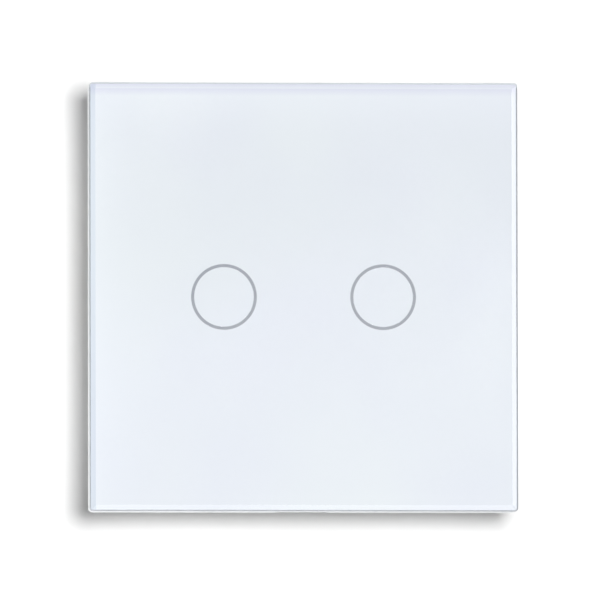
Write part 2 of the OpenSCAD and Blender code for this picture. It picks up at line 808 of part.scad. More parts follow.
module relay_armature(s) {
    under = hinge_h + hinge_lift;
    color("silver") on_relay(s) difference() {
        block([-yoke_w / 2, hinge_y - yoke_t / 2 - 0.2, under],
            [yoke_w / 2, core_y + shoe_r + 1, under + armature_t]);
        for (y = [0.3, 0.75]) translate([0, hinge_y + y * (core_y + shoe_r - hinge_y), 0])
            peg(1, under - eps, under + armature_t + eps);
    }
}

// A leaf spring riveted to the armature, with the contact under its free end
module relay_moving_contact(s) {
    under = hinge_h + hinge_lift;
    top = under + armature_t;
    leaf_w = 2 * contact_r + 0.6;
    color("goldenrod") on_relay(s) {
        block([-leaf_w / 2, core_y - shoe_r, top], [leaf_w / 2, contact_y + contact_r + 0.3, top + leaf_t]);
        for (y = [0.3, 0.75]) translate([0, hinge_y + y * (core_y + shoe_r - hinge_y), 0]) {
            peg(1 - 2 * screw_slip, under + slip, top + eps);
            peg(1.6, top + leaf_t - eps, top + leaf_t + rivet_h);
        }
        translate([0, contact_y, 0]) peg(2 * contact_r, contact_low, top + eps);
    }
}

module relay_fixed_contact(s) {
    strip_w = 2 * contact_r + 0.6;
    button_h = 0.7;
    color("goldenrod") on_relay(s) {
        block([-strip_w / 2, contact_y - contact_r - 0.3, fixed_top - button_h - strip_t],
            [strip_w / 2, strip_y, fixed_top - button_h]);
        block([-strip_w / 2, strip_y - strip_t, relay_base_t], [strip_w / 2, strip_y, fixed_top - button_h]);
        translate([0, contact_y, 0]) peg(2 * contact_r, fixed_top - button_h - eps, fixed_top);
        translate([0, fixed_lead_y, 0]) lead(lead_d, relay_base_t + eps);
    }
}

// The supply parts on the power board

transformer_h = 11;
transformer_foot = 2;
core_d = 4.8;
core_leg = 1.3;
core_post = 2.6;
core_yoke = 1.2;
core_in = transformer_w / 2 - core_leg;
core_window = core_in - core_post / 2;
winding_low = transformer_foot + core_yoke;
winding_top = transformer_h - core_yoke;
spool_t = 0.6;
spool_wall = 0.4;
spool = [2 * core_in - 3 * slip, core_d + 2 * (core_window - 3 * slip)];
spool_tube = [core_post + 2 * spool_wall, core_d + 2 * spool_wall];

module transformer_core() {
    color("darkslategray") on_power_board(0, supply_y) difference() {
        standing_block(transformer_w, core_d, transformer_foot, transformer_h);
        for (s = [-1, 1]) translate([s * (core_in + core_post / 2) / 2, 0, 0])
            standing_block(core_window, core_d + 2 * eps, winding_low - fit, winding_top + fit);
    }
}

// A foot with six leads, and a spool on two stands that straddle the core
module transformer_bobbin() {
    color("saddlebrown") on_power_board(0, supply_y) {
        standing_block(transformer_w, transformer_w, 0, transformer_foot);
        for (s = [0, 180]) rotate(s) block([-spool[0] / 2, core_d / 2 + slip, transformer_foot - eps],
            [spool[0] / 2, spool[1] / 2, winding_low + eps]);
        difference() {
            union() {
                standing_block(spool_tube[0], spool_tube[1], winding_low, winding_top);
                standing_block(spool[0], spool[1], winding_low, winding_low + spool_t);
                standing_block(spool[0], spool[1], winding_top - spool_t, winding_top);
            }
            standing_block(core_post + slip, core_d + slip, winding_low - eps, winding_top + eps);
        }
        for (p = transformer_leads) translate([p[0], p[1], 0]) lead(lead_d, eps);
    }
}

module transformer_winding() {
    low = winding_low + spool_t + slip / 2;
    top = winding_top - spool_t - slip / 2;
    color("gold") on_power_board(0, supply_y) difference() {
        plate(spool[0] - slip, spool[1] - slip, spool_t, low, top);
        standing_block(spool_tube[0] + slip, spool_tube[1] + slip, low - eps, top + eps);
    }
}

module bulk_capacitor() {
    color("darkslateblue") on_power_board(bulk_cap_place[0], bulk_cap_place[1])
        can_capacitor(bulk_cap_d, bulk_cap_h);
}

module output_capacitor() {
    color("darkslateblue") on_power_board(out_cap_x, supply_y) can_capacitor(out_cap_d, out_cap_h);
}

module film_capacitor() {
    color("goldenrod") on_power_board(film_cap_place[0], film_cap_place[1]) {
        plate(film_cap[0], film_cap[1], 0.5, 0, film_cap[2]);
        for (s = [-1, 1]) translate([0, s * film_cap[1] / 3, 0]) lead(lead_d, eps);
    }
}

// A coated disc on edge, with a bead of coating down each lead
module varistor() {
    r = varistor[0] / 2;
    t = varistor[1];
    soft = 0.8;
    color("royalblue") on_power_board(varistor_place[0], varistor_place[1]) {
        translate([0, t / 2, varistor[2] - r]) rotate([90, 0, 0]) rotate_extrude()
            polygon([[0, 0], [r - soft, 0], [r, soft], [r, t - soft], [r - soft, t], [0, t]]);
        for (s = [-1, 1]) translate([s * varistor[0] / 3, 0, 0]) {
            peg(lead_d + 0.8, 0.4, varistor[2] - r - soft);
            lead(lead_d, 0.4 + eps);
        }
    }
}

module fuse() {
    color("saddlebrown") on_power_board(fuse_place[0], fuse_place[1]) {
        plate(fuse[0], fuse[1], 1, 0, fuse[2]);
        for (s = [-1, 1]) translate([s * fuse[0] / 3, 0, 0]) lead(lead_d, eps);
    }
}

// A drum core with its winding in the waist
module choke() {
    r = choke_d / 2;
    high = 8;
    cheek = 1.2;
    waist = 0.5;
    color("dimgray") on_power_board(-choke_x, supply_y) {
        rotate_extrude() polygon([
            [0, 0], [r, 0], [r, cheek], [r - waist, cheek + waist],
            [r - waist, high - cheek - waist], [r, high - cheek], [r, high], [0, high]
        ]);
        for (s = [-1, 1]) translate([s * choke_d / 4, 0, 0]) lead(lead_d, eps);
    }
}

module bridge_rectifier() {
    color("dimgray") on_power_board(side_right_x, supply_y + supply_row / 4)
        chip(bridge, 2, bridge_pitch);
}

module power_chip() {
    color("dimgray") on_power_board(side_right_x, supply_y - supply_row / 4)
        chip(power_chip_size, 4, chip_pitch);
}

// Terminals: a housing with a well, a bar to the board, and a screw that lifts a cage against the bar

module on_pole(i) {
    on_power_board(pole_x(i), pole_y) children();
}

module terminal_housing() {
    wide = pole_pitch - pole_gap;
    shaft_d = clamp_screw_d + 2 * slip;
    funnel = 0.5;
    difference() {
        block([-wide / 2, 0, 0], [wide / 2, pole_depth, pole_h]);
        block([-cage_w / 2 - cage_slip, well_y[0], -eps], [cage_w / 2 + cage_slip, well_y[1], well_top]);
        block([-bar_w / 2 - slip, well_y[1] - eps, -eps],
            [bar_w / 2 + slip, bar_leg_y[1] + slip, bar_h + bar_t + slip]);
        translate([0, (well_y[0] + well_y[1]) / 2, 0]) {
            peg(shaft_d, well_top - eps, head_seat_h + eps);
            peg(clamp_head_d + 2 * fit, head_seat_h, pole_h + eps);
        }
        translate([0, 0, wire_h]) rotate([-90, 0, 0]) {
            translate([0, 0, -eps]) cylinder(d = wire_d, h = entry_wall + 2 * eps);
            translate([0, 0, -eps]) cylinder(d1 = wire_d + 2 * funnel, d2 = wire_d, h = funnel);
        }
    }
}

module terminal_housings() {
    color("darkgreen") for (i = [1:pole_count]) on_pole(i) terminal_housing();
}

module terminal_bars() {
    color("peru") for (i = [1:pole_count]) on_pole(i) {
        block([-bar_w / 2, well_y[0] + slip, bar_h], [bar_w / 2, bar_leg_y[1], bar_h + bar_t]);
        block([-bar_w / 2, bar_leg_y[0], 0], [bar_w / 2, bar_leg_y[1], bar_h + eps]);
        translate([0, (bar_leg_y[0] + bar_leg_y[1]) / 2, 0]) lead(bar_pin_d, eps);
    }
}

module terminal_screw(i) {
    slot_h = 0.9;
    color("silver") on_pole(i) translate([0, (well_y[0] + well_y[1]) / 2, 0]) difference() {
        union() {
            peg(clamp_screw_d, screw_tip_h, head_seat_h + slip);
            peg(clamp_head_d, head_seat_h + 0.05, head_seat_h + clamp_head_h);
        }
        standing_block(clamp_head_d + 1, 0.8, head_seat_h + clamp_head_h - slot_h, pole_h);
    }
}

module clamp_cage(i) {
    open_w = cage_w - 2 * cage_wall;
    color("gold") on_pole(i) translate([0, (well_y[0] + well_y[1]) / 2, 0]) difference() {
        standing_block(cage_w, cage_d, cage_low, cage_low + cage_h);
        standing_block(open_w, cage_d + 2 * eps, cage_low + cage_plate, cage_top_h);
        peg(clamp_screw_d + slip, cage_top_h - eps, cage_low + cage_h + eps);
    }
}

// The rear cover, with a bay that leaves the terminals open below and behind

module cover_outline(inset, r) {
    rounded_rect(box_w - 2 * inset, box_h - 2 * inset, r);
}

module cover_body() {
    translate([0, 0, -box_depth + box_bevel]) linear_extrude(box_depth - box_bevel + cover_seat)
        cover_outline(0, box_r);
    hull($fn = 32) {
        translate([0, 0, -box_depth + box_bevel]) linear_extrude(eps) cover_outline(0, box_r);
        translate([0, 0, -box_depth]) linear_extrude(eps) cover_outline(box_bevel, box_r);
    }
}

module cover_vents() {
    pitch = 2.6 * vent_w;
    span = relay_x + relay_wid / 2;
    n = floor(span / pitch);
    for (i = [-n:n]) if (i != 0) {
        translate([i * pitch, relay_y, -box_depth - eps]) linear_extrude(box_floor + 2 * eps)
            rotate(90) slot_outline(relay_len * 0.7, vent_w);
        translate([i * pitch, box_h / 2 + eps, (z_power_rear + z_floor) / 2]) rotate([90, 0, 0])
            linear_extrude(box_wall + 2 * eps) rotate(90) slot_outline(relay_h * 0.6, vent_w);
    }
}

module rear_cover() {
    inner_r = max(box_r - box_wall, 0.3);
    rib = 1.2;
    boss_d = cover_head[0] + 2.4;
    color("white") difference() {
        union() {
            difference() {
                cover_body();
                translate([0, 0, z_floor]) linear_extrude(box_depth + cover_seat)
                    cover_outline(box_wall, inner_r);
            }
            at_corners(post_x, post_y) peg(boss_d, z_floor - eps, z_post_end);
            block([-bay_half - partition_t, box_low + box_wall / 2, z_floor - eps],
                [bay_half + partition_t, bay_top + partition_t, z_power_rear]);
            block([-rib / 2, box_h / 2 - box_wall - 5 * fit - rib, z_floor - eps],
                [rib / 2, box_h / 2 - box_wall + eps, z_power_rear]);
        }
        block([-bay_half, box_low - eps, -box_depth - eps], [bay_half, bay_top, z_power_rear + fit]);
        at_corners(post_x, post_y) {
            peg(cover_screw_d + 2 * fit, -box_depth - eps, z_post_end + eps);
            peg(cover_head[0] + 2 * fit, -box_depth - eps, z_head_seat);
        }
        cover_vents();
    }
}

module cover_screws() {
    color("silver") at_corners(post_x, post_y) translate([0, 0, z_head_seat]) rotate([180, 0, 0])
        pan_screw(cover_screw_d, cover_head, cover_screw_len, 0);
}

stand_up() glass_panel();
stand_up() printed_film();
stand_up() ring_marks();
stand_up() panel_tape();
stand_up() panel_frame();
stand_up() snap_tabs();
stand_up() base_plate();
stand_up() touch_board();
stand_up() touch_spring(-1);  // touch_spring_left
stand_up() touch_spring(1);  // touch_spring_right
stand_up() light_guide(-1);  // light_guide_left
stand_up() light_guide(1);  // light_guide_right
stand_up() indicator_leds();
stand_up() touch_chip();
stand_up() touch_passives();
stand_up() touch_board_screws();
stand_up() link_header();
stand_up() link_pins();
stand_up() link_socket();
stand_up() power_board();
stand_up() relay_cover(-1);  // relay_left_cover
stand_up() relay_base(-1);  // relay_left_base
stand_up() relay_bobbin(-1);  // relay_left_bobbin
stand_up() relay_coil(-1);  // relay_left_coil
stand_up() relay_yoke(-1);  // relay_left_yoke
stand_up() relay_armature(-1);  // relay_left_armature
stand_up() relay_moving_contact(-1);  // relay_left_moving_contact
stand_up() relay_fixed_contact(-1);  // relay_left_fixed_contact
stand_up() relay_cover(1);  // relay_right_cover
stand_up() relay_base(1);  // relay_right_base
stand_up() relay_bobbin(1);  // relay_right_bobbin
stand_up() relay_coil(1);  // relay_right_coil
stand_up() relay_yoke(1);  // relay_right_yoke
stand_up() relay_armature(1);  // relay_right_armature
stand_up() relay_moving_contact(1);  // relay_right_moving_contact
stand_up() relay_fixed_contact(1);  // relay_right_fixed_contact
stand_up() transformer_core();
stand_up() transformer_bobbin();
stand_up() transformer_winding();
stand_up() bulk_capacitor();
stand_up() output_capacitor();
stand_up() film_capacitor();
stand_up() varistor();
stand_up() fuse();
stand_up() choke();
stand_up() bridge_rectifier();
stand_up() power_chip();
stand_up() terminal_housings();
stand_up() terminal_bars();
stand_up() terminal_screw(1);  // terminal_screw_1
stand_up() terminal_screw(2);  // terminal_screw_2
stand_up() terminal_screw(3);  // terminal_screw_3
stand_up() terminal_screw(4);  // terminal_screw_4
stand_up() clamp_cage(1);  // clamp_cage_1
stand_up() clamp_cage(2);  // clamp_cage_2
stand_up() clamp_cage(3);  // clamp_cage_3
stand_up() clamp_cage(4);  // clamp_cage_4
stand_up() rear_cover();
stand_up() cover_screws();
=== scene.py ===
# %% [markdown]
# # A two-gang touch light switch
# The switch is a square of bevelled glass with a white print behind it and two grey touch rings. The glass
# is bonded to a clip-off frame, and behind that are a base, a touch board and a wall-box cover with the
# relays and screw terminals. The solids come from the CAD model and are never moved. This lesson gives each
# piece its finish, and remakes the few whose look depends on more detail than the solids carry.

# %% Load the frame
import json
import math

import bmesh
import bpy
from mathutils import Matrix, Vector

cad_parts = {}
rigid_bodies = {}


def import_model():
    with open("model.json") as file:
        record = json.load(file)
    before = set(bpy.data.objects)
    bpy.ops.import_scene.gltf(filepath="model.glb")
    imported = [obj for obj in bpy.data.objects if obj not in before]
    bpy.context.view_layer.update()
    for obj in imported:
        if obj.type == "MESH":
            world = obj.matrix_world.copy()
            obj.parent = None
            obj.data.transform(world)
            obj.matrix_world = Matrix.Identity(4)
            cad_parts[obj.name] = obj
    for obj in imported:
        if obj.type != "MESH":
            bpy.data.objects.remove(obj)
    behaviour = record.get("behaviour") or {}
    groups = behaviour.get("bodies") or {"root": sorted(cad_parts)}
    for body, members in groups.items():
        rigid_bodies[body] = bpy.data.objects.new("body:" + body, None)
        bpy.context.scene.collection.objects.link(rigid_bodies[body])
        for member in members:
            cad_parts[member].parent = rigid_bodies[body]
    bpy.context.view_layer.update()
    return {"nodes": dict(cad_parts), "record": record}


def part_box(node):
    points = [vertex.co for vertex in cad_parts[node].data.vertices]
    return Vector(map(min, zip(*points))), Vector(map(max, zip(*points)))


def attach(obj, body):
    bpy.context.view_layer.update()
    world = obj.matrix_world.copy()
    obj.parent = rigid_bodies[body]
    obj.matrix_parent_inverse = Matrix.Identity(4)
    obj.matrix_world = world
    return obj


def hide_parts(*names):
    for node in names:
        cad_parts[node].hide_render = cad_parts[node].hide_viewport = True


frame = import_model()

nodes = frame["nodes"]
slot_of = {part["node"]: part["material_slot"] for part in frame["record"]["subparts"]}
body_of = {n: body for body, members in frame["record"]["behaviour"]["bodies"].items() for n in members}

# %% [markdown]
# ## Camera
# The photograph looks almost straight at the face from far away: the sides stay parallel, and only a hair of
# the left and lower sides shows. A camera close by would splay them, so a long lens stands four and a half
# metres off, to the left and below, and is aimed slightly beside the middle, as the picture is. A square seen
# from two sides at once looks slightly skewed, and a small roll shares the skew between its level and its
# upright edges.

# %% Camera
MM = 0.001
scene = bpy.context.scene
scene.view_settings.view_transform = "Standard"
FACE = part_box("glass_panel")[0].y
CAMERA_DISTANCE, CAMERA_REACH = 4.5, 20
CAMERA_LEFT = CAMERA_BELOW = math.radians(3.55)
CAMERA_ROLL = math.radians(-0.11)
FRAME_WIDTH = 120.33 * MM
AIM_RIGHT, AIM_UP = -0.88 * MM, -0.76 * MM
aim = Vector((AIM_RIGHT, FACE, AIM_UP))
away = Vector((-math.tan(CAMERA_LEFT), -1, -math.tan(CAMERA_BELOW))).normalized()

camera_data = bpy.data.cameras.new("camera")
camera_data.lens = camera_data.sensor_width * CAMERA_DISTANCE / FRAME_WIDTH
camera_data.clip_end = CAMERA_REACH
camera = bpy.data.objects.new("camera", camera_data)
camera.location = aim + away * CAMERA_DISTANCE
camera.rotation_euler = (-away).to_track_quat("-Z", "Y").to_euler()
camera.rotation_euler.rotate_axis("Z", CAMERA_ROLL)
scene.collection.objects.link(camera)
scene.camera = camera
print("lens", round(camera_data.lens), "mm")

# %% [markdown]
# ## Backdrop
# The picture's ground is pure white, with one soft shadow along the left and lower sides. A plain white board
# stands behind the switch and takes the shadow. A glow that only camera, mirror and glass rays see lifts its
# lit part to white. It is faint near the switch, where it would wash out the shadow, and stronger beyond. Past
# the board the world is white as well. Seen from behind, the board is clear, so that it never hides the rear.

# %% Helpers for node trees


def join(tree, source, target):
    tree.links.new(source, target)


def add_node(tree, kind, values=None, **settings):
    """A node with its settings, and values for its inputs by name or number."""
    node = tree.nodes.new(kind)
    for title, value in settings.items():
        setattr(node, title, value)
    for title, value in (values or {}).items():
        node.inputs[title].default_value = value
    return node


def maths(tree, operation, a, b=None):
    """A Math node; each operand is a number or an output socket. Returns its output."""
    node = add_node(tree, "ShaderNodeMath", operation=operation)
    for place, operand in enumerate((a, b)):
        if isinstance(operand, (int, float)):
            node.inputs[place].default_value = operand
        elif operand is not None:
            join(tree, operand, node.inputs[place])
    return node.outputs[0]


def white_rays(tree):
    """1 for rays that show the ground itself: seen directly, in a mirror or through glass."""
    path = add_node(tree, "ShaderNodeLightPath").outputs
    seen = maths(tree, "MAXIMUM", path["Is Camera Ray"], path["Is Glossy Ray"])
    seen = maths(tree, "MAXIMUM", seen, path["Is Transmission Ray"])
    return maths(tree, "MULTIPLY", seen, maths(tree, "LESS_THAN", path["Diffuse Depth"], 0.5))


def empty_tree(owner):
    """The node tree of a material or a world, without nodes."""
    owner.use_nodes = True
    owner.node_tree.nodes.clear()
    return owner.node_tree


def upright_sheet(name, low, high):
    """A rectangle that faces the camera, from its lower left to its upper right corner."""
    outline = ((low.x, low.z), (high.x, low.z), (high.x, high.z), (low.x, high.z))
    mesh = bpy.data.meshes.new(name)
    mesh.from_pydata([(x, low.y, z) for x, z in outline], [], [(0, 1, 2, 3)])
    made = bpy.data.objects.new(name, mesh)
    scene.collection.objects.link(made)
    return made


print("helpers for node trees ready")

# %% Backdrop
BACKDROP_BEHIND, BACKDROP_HALF = 27 * MM, 0.4
WHITE = (1, 1, 1, 1)
GLOW_NEAR, GLOW_FAR = 0.02, 0.16
NEAR_REACH, FAR_REACH = 50 * MM, 56 * MM

backdrop = upright_sheet("backdrop", Vector((-BACKDROP_HALF, BACKDROP_BEHIND, -BACKDROP_HALF)),
                         Vector((BACKDROP_HALF, BACKDROP_BEHIND, BACKDROP_HALF)))
backdrop.visible_shadow = False

board_paint = bpy.data.materials.new("backdrop_white")
tree = empty_tree(board_paint)
matt = add_node(tree, "ShaderNodeBsdfDiffuse", {"Color": WHITE})
glow = add_node(tree, "ShaderNodeEmission", {"Color": WHITE})
spot = add_node(tree, "ShaderNodeSeparateXYZ")
join(tree, add_node(tree, "ShaderNodeTexCoord").outputs["Object"], spot.inputs[0])
reach = maths(tree, "MAXIMUM", *[maths(tree, "ABSOLUTE", spot.outputs[axis]) for axis in "XZ"])
gain = add_node(tree, "ShaderNodeMapRange", {
    "From Min": NEAR_REACH, "From Max": FAR_REACH, "To Min": GLOW_NEAR, "To Max": GLOW_FAR})
join(tree, reach, gain.inputs["Value"])
join(tree, maths(tree, "MULTIPLY", white_rays(tree), gain.outputs[0]), glow.inputs["Strength"])
lit = add_node(tree, "ShaderNodeAddShader")
join(tree, matt.outputs[0], lit.inputs[0])
join(tree, glow.outputs[0], lit.inputs[1])
one_sided = add_node(tree, "ShaderNodeMixShader")
join(tree, add_node(tree, "ShaderNodeNewGeometry").outputs["Backfacing"], one_sided.inputs[0])
join(tree, lit.outputs[0], one_sided.inputs[1])
join(tree, add_node(tree, "ShaderNodeBsdfTransparent").outputs[0], one_sided.inputs[2])
join(tree, one_sided.outputs[0], add_node(tree, "ShaderNodeOutputMaterial").inputs[0])
backdrop.data.materials.append(board_paint)
print("backdrop faces", tuple(round(v, 2) for v in backdrop.data.polygons[0].normal))

# %% [markdown]
# ## Light
# The main light, key, comes almost straight from the front, a little from the right, and dome is a wide soft
# light round it. Both would mirror themselves in the glass, so mirrors don't see them. The backdrop has a
# round lamp of its own, board_key, near enough to spread the shadow as far as the photograph's, and
# board_lift, which casts no shadow, keeps that one from going too dark. Low on the left, fill whitens the
# frame's narrow sides, and underside does so from the right. Two strips at the right and below show as the
# bright lines in those bevels. A dark card beside the camera shows in the glass, and makes its upper half a
# shade deeper.

# %% Lamps


def lamp(name, kind, place, target, power, size=None, mirrored=False, **settings):
    """A lamp that shines from a place to a target. Mirrors see it only where mirrored is set."""
    data = bpy.data.lights.new(name, kind)
    data.energy = power
    if kind == "AREA":
        data.shape = "RECTANGLE"
        data.size, data.size_y = size
    for title, value in settings.items():
        setattr(data, title, value)
    made = bpy.data.objects.new(name, data)
    made.location = place
    made.rotation_euler = (Vector(target) - Vector(place)).to_track_quat("-Z", "Y").to_euler()
    made.visible_camera = False
    made.visible_glossy = mirrored
    scene.collection.objects.link(made)
    return made


KEY_RIGHT, KEY_UP = math.tan(math.radians(2.25)), math.tan(math.radians(0.3))
KEY_PLACE, KEY_SPREAD = (KEY_RIGHT, -1, KEY_UP), math.radians(11)
BOARD_KEY_RIGHT, BOARD_KEY_UP = math.tan(math.radians(1.15)), math.tan(math.radians(-0.6))
BOARD_KEY_AWAY, BOARD_KEY_SPREAD = 1.4, math.radians(10)
BOARD_KEY_PLACE = Vector((BOARD_KEY_RIGHT, -1, BOARD_KEY_UP)) * BOARD_KEY_AWAY
DOME_SPREAD = math.radians(130)
SOFT_BOX, UPRIGHT_STRIP, LEVEL_STRIP = (0.12, 0.12), (0.05, 0.2), (0.2, 0.05)
ORIGIN, FACE_MIDDLE = (0, 0, 0), (0, FACE, 0)
key = lamp("key", "SUN", KEY_PLACE, ORIGIN, power=2.25, angle=KEY_SPREAD)
board_key = lamp("board_key", "POINT", BOARD_KEY_PLACE, ORIGIN, power=68,
                 shadow_soft_size=BOARD_KEY_AWAY * math.tan(BOARD_KEY_SPREAD / 2))
board_lift = lamp("board_lift", "SUN", KEY_PLACE, ORIGIN, power=0.34, use_shadow=False)
dome = lamp("dome", "SUN", (0.1, -1, 0.3), ORIGIN, power=0.85, angle=DOME_SPREAD)
fill = lamp("fill", "AREA", (-0.23, -0.05, -0.25), FACE_MIDDLE, power=0.48, size=SOFT_BOX)
underside = lamp("underside", "AREA", (0.2, -0.05, -0.2), FACE_MIDDLE, power=0.13, size=SOFT_BOX)
right_strip = lamp("right_strip", "AREA", (0.36, 0.005, 0.02), (0, 0.005, 0.02), power=0.06,
                   size=UPRIGHT_STRIP, mirrored=True)
lower_strip = lamp("lower_strip", "AREA", (0.02, -0.03, -0.36), (0.02, -0.03, 0), power=0.05,
                   size=LEVEL_STRIP, mirrored=True)


def lit_only(light, *receivers, excluded=()):
    """Keeps a lamp's light to some objects, or keeps some objects out of it."""
    group = bpy.data.collections.new("lit by " + light.name)
    for receiver in (*receivers, *excluded):
        group.objects.link(receiver)
    if excluded:
        for item in group.collection_objects:
            item.light_linking.link_state = "EXCLUDE"
    light.light_linking.receiver_collection = group


for board_light in (board_key, board_lift):
    lit_only(board_light, backdrop)
for object_light in (key, dome):
    lit_only(object_light, excluded=(backdrop,))

# %% Dark card and world
AMBIENT = 0.05
CARD_LOW, CARD_HIGH = Vector((0.0, -2.52, 0.11)), Vector((0.3, -2.52, 0.23))
CARD_FADES = (0.125, 0.184), (0.223, 0.203)
card = upright_sheet("dark_card", CARD_LOW, CARD_HIGH)
for sight in ("camera", "diffuse", "transmission", "shadow"):
    setattr(card, "visible_" + sight, False)
card_felt = bpy.data.materials.new("dark_card")
tree = empty_tree(card_felt)
height = add_node(tree, "ShaderNodeSeparateXYZ")
join(tree, add_node(tree, "ShaderNodeTexCoord").outputs["Object"], height.inputs[0])
fades = []
for clear_at, dark_at in CARD_FADES:
    fade = add_node(tree, "ShaderNodeMapRange", {"From Min": clear_at, "From Max": dark_at},
                    interpolation_type="SMOOTHSTEP")
    join(tree, height.outputs["Z"], fade.inputs["Value"])
    fades.append(fade.outputs[0])
felt = add_node(tree, "ShaderNodeMixShader")
join(tree, maths(tree, "MULTIPLY", *fades), felt.inputs[0])
join(tree, add_node(tree, "ShaderNodeBsdfTransparent").outputs[0], felt.inputs[1])
join(tree, add_node(tree, "ShaderNodeEmission", {"Strength": 0.0}).outputs[0], felt.inputs[2])
join(tree, felt.outputs[0], add_node(tree, "ShaderNodeOutputMaterial").inputs[0])
card.data.materials.append(card_felt)

world = bpy.data.worlds.new("studio")
scene.world = world
tree = empty_tree(world)
sky = add_node(tree, "ShaderNodeBackground", {"Color": WHITE})
level = add_node(tree, "ShaderNodeMapRange", {"To Min": AMBIENT, "To Max": 1})
join(tree, white_rays(tree), level.inputs["Value"])
join(tree, level.outputs[0], sky.inputs["Strength"])
join(tree, sky.outputs[0], add_node(tree, "ShaderNodeOutputWorld").inputs[0])
print("card", [round(v, 2) for v in CARD_HIGH - CARD_LOW], "m, ambient", AMBIENT)

# %% [markdown]
# ## Shared finishes
# Three effects come back on many pieces, so each is a node group. Moulded plastic has the fine spark-eroded
# grain of its tool and a slight drift in tone. Plated metal has streaks along its rolling direction and
# duller patches. A circuit board has copper tracks that show through its resist as paler lines with a low
# step. All are read from Object coordinates, so nothing slides when a piece moves.

# %% Helpers for the shared finishes


def shader_group(name, inputs, outputs):
    """An empty group with its sockets. Returns the tree, its input sockets and its output sockets."""
    group = bpy.data.node_groups.new(name, "ShaderNodeTree")
    for title, kind, value in inputs:
        socket = group.interface.new_socket(title, in_out="INPUT", socket_type="NodeSocket" + kind)
        socket.default_value = value
    for title, kind in outputs:
        group.interface.new_socket(title, in_out="OUTPUT", socket_type="NodeSocket" + kind)
    return group, group.nodes.new("NodeGroupInput").outputs, group.nodes.new("NodeGroupOutput").inputs


def object_point(tree):
    return add_node(tree, "ShaderNodeTexCoord").outputs["Object"]


def noise(tree, point, scale, detail=2.0):
    """Noise of that many cycles per metre, a number or a socket. Returns its value."""
    node = add_node(tree, "ShaderNodeTexNoise", {"Detail": detail})
    join(tree, point, node.inputs["Vector"])
    if isinstance(scale, (int, float)):
        node.inputs["Scale"].default_value = scale
    else:
        join(tree, scale, node.inputs["Scale"])
    return node.outputs[0]


def blend(tree, share, a, b):
    """Colour a where share is 0 and b where it is 1; colours or sockets."""
    node = add_node(tree, "ShaderNodeMix", data_type="RGBA")
    join(tree, share, node.inputs[0])
    for place, colour in ((6, a), (7, b)):
        if isinstance(colour, tuple):
            node.inputs[place].default_value = (*colour, 1)
        else:
            join(tree, colour, node.inputs[place])
    return node.outputs[2]


def scaled(tree, colour, factor):
    node = add_node(tree, "ShaderNodeVectorMath", operation="SCALE")
    join(tree, colour, node.inputs[0])
    join(tree, factor, node.inputs["Scale"])
    return node.outputs[0]


def stretch(tree, value, low, high, to_low, to_high):
    """Maps the range from low to high onto another one, and holds its ends."""
    node = add_node(tree, "ShaderNodeMapRange", {
        "From Min": low, "From Max": high, "To Min": to_low, "To Max": to_high})
    join(tree, value, node.inputs["Value"])
    return node.outputs[0]


NOISE_LOW, NOISE_HIGH = 0.3, 0.7


def spread(tree, value, low, high):
    """Noise keeps to the middle of its range. This spreads it from low to high."""
    return stretch(tree, value, NOISE_LOW, NOISE_HIGH, low, high)


FINISH_OUTPUTS = [("Colour", "Color"), ("Roughness", "Float"), ("Height", "Float")]
print("each finish gives", [title for title, kind in FINISH_OUTPUTS])

# %% Moulded plastic
TONE_SCALE = 55
moulded_skin, put, get = shader_group("moulded_skin", [
    ("Colour", "Color", (0.8, 0.8, 0.8, 1)), ("Drift", "Float", 0.02), ("Grain", "Float", 3000.0),
    ("Roughness", "Float", 0.45)], FINISH_OUTPUTS)
point = object_point(moulded_skin)
grain = noise(moulded_skin, point, put["Grain"], 3)
tone = noise(moulded_skin, point, TONE_SCALE)
shift = maths(moulded_skin, "MULTIPLY", maths(moulded_skin, "SUBTRACT", tone, 0.5), put["Drift"])
join(moulded_skin, scaled(moulded_skin, put["Colour"], maths(moulded_skin, "ADD", shift, 1)), get["Colour"])
uneven = spread(moulded_skin, grain, -0.07, 0.07)
join(moulded_skin, maths(moulded_skin, "ADD", put["Roughness"], uneven), get["Roughness"])
join(moulded_skin, grain, get["Height"])
print(moulded_skin.name, len(moulded_skin.nodes), "nodes")

# %% Plated metal
STREAK_SQUEEZE = (1, 0.12, 1)
PATCH_SCALE = 400
plated_metal, put, get = shader_group("plated_metal", [
    ("Colour", "Color", (0.7, 0.7, 0.7, 1)), ("Dull", "Color", (0.4, 0.4, 0.4, 1)),
    ("Streaks", "Float", 900.0), ("Roughness", "Float", 0.3)], FINISH_OUTPUTS)
drawn = add_node(plated_metal, "ShaderNodeMapping", {"Scale": STREAK_SQUEEZE})
join(plated_metal, object_point(plated_metal), drawn.inputs["Vector"])
streaks = noise(plated_metal, drawn.outputs[0], put["Streaks"], 4)
patches = noise(plated_metal, object_point(plated_metal), PATCH_SCALE, 3)
worn = stretch(plated_metal, patches, 0.48, 0.72, 0, 0.6)
join(plated_metal, blend(plated_metal, worn, put["Colour"], put["Dull"]), get["Colour"])
uneven = spread(plated_metal, streaks, -0.08, 0.1)
join(plated_metal, maths(plated_metal, "ADD", put["Roughness"], uneven), get["Roughness"])
join(plated_metal, streaks, get["Height"])
print(plated_metal.name, len(plated_metal.nodes), "nodes")

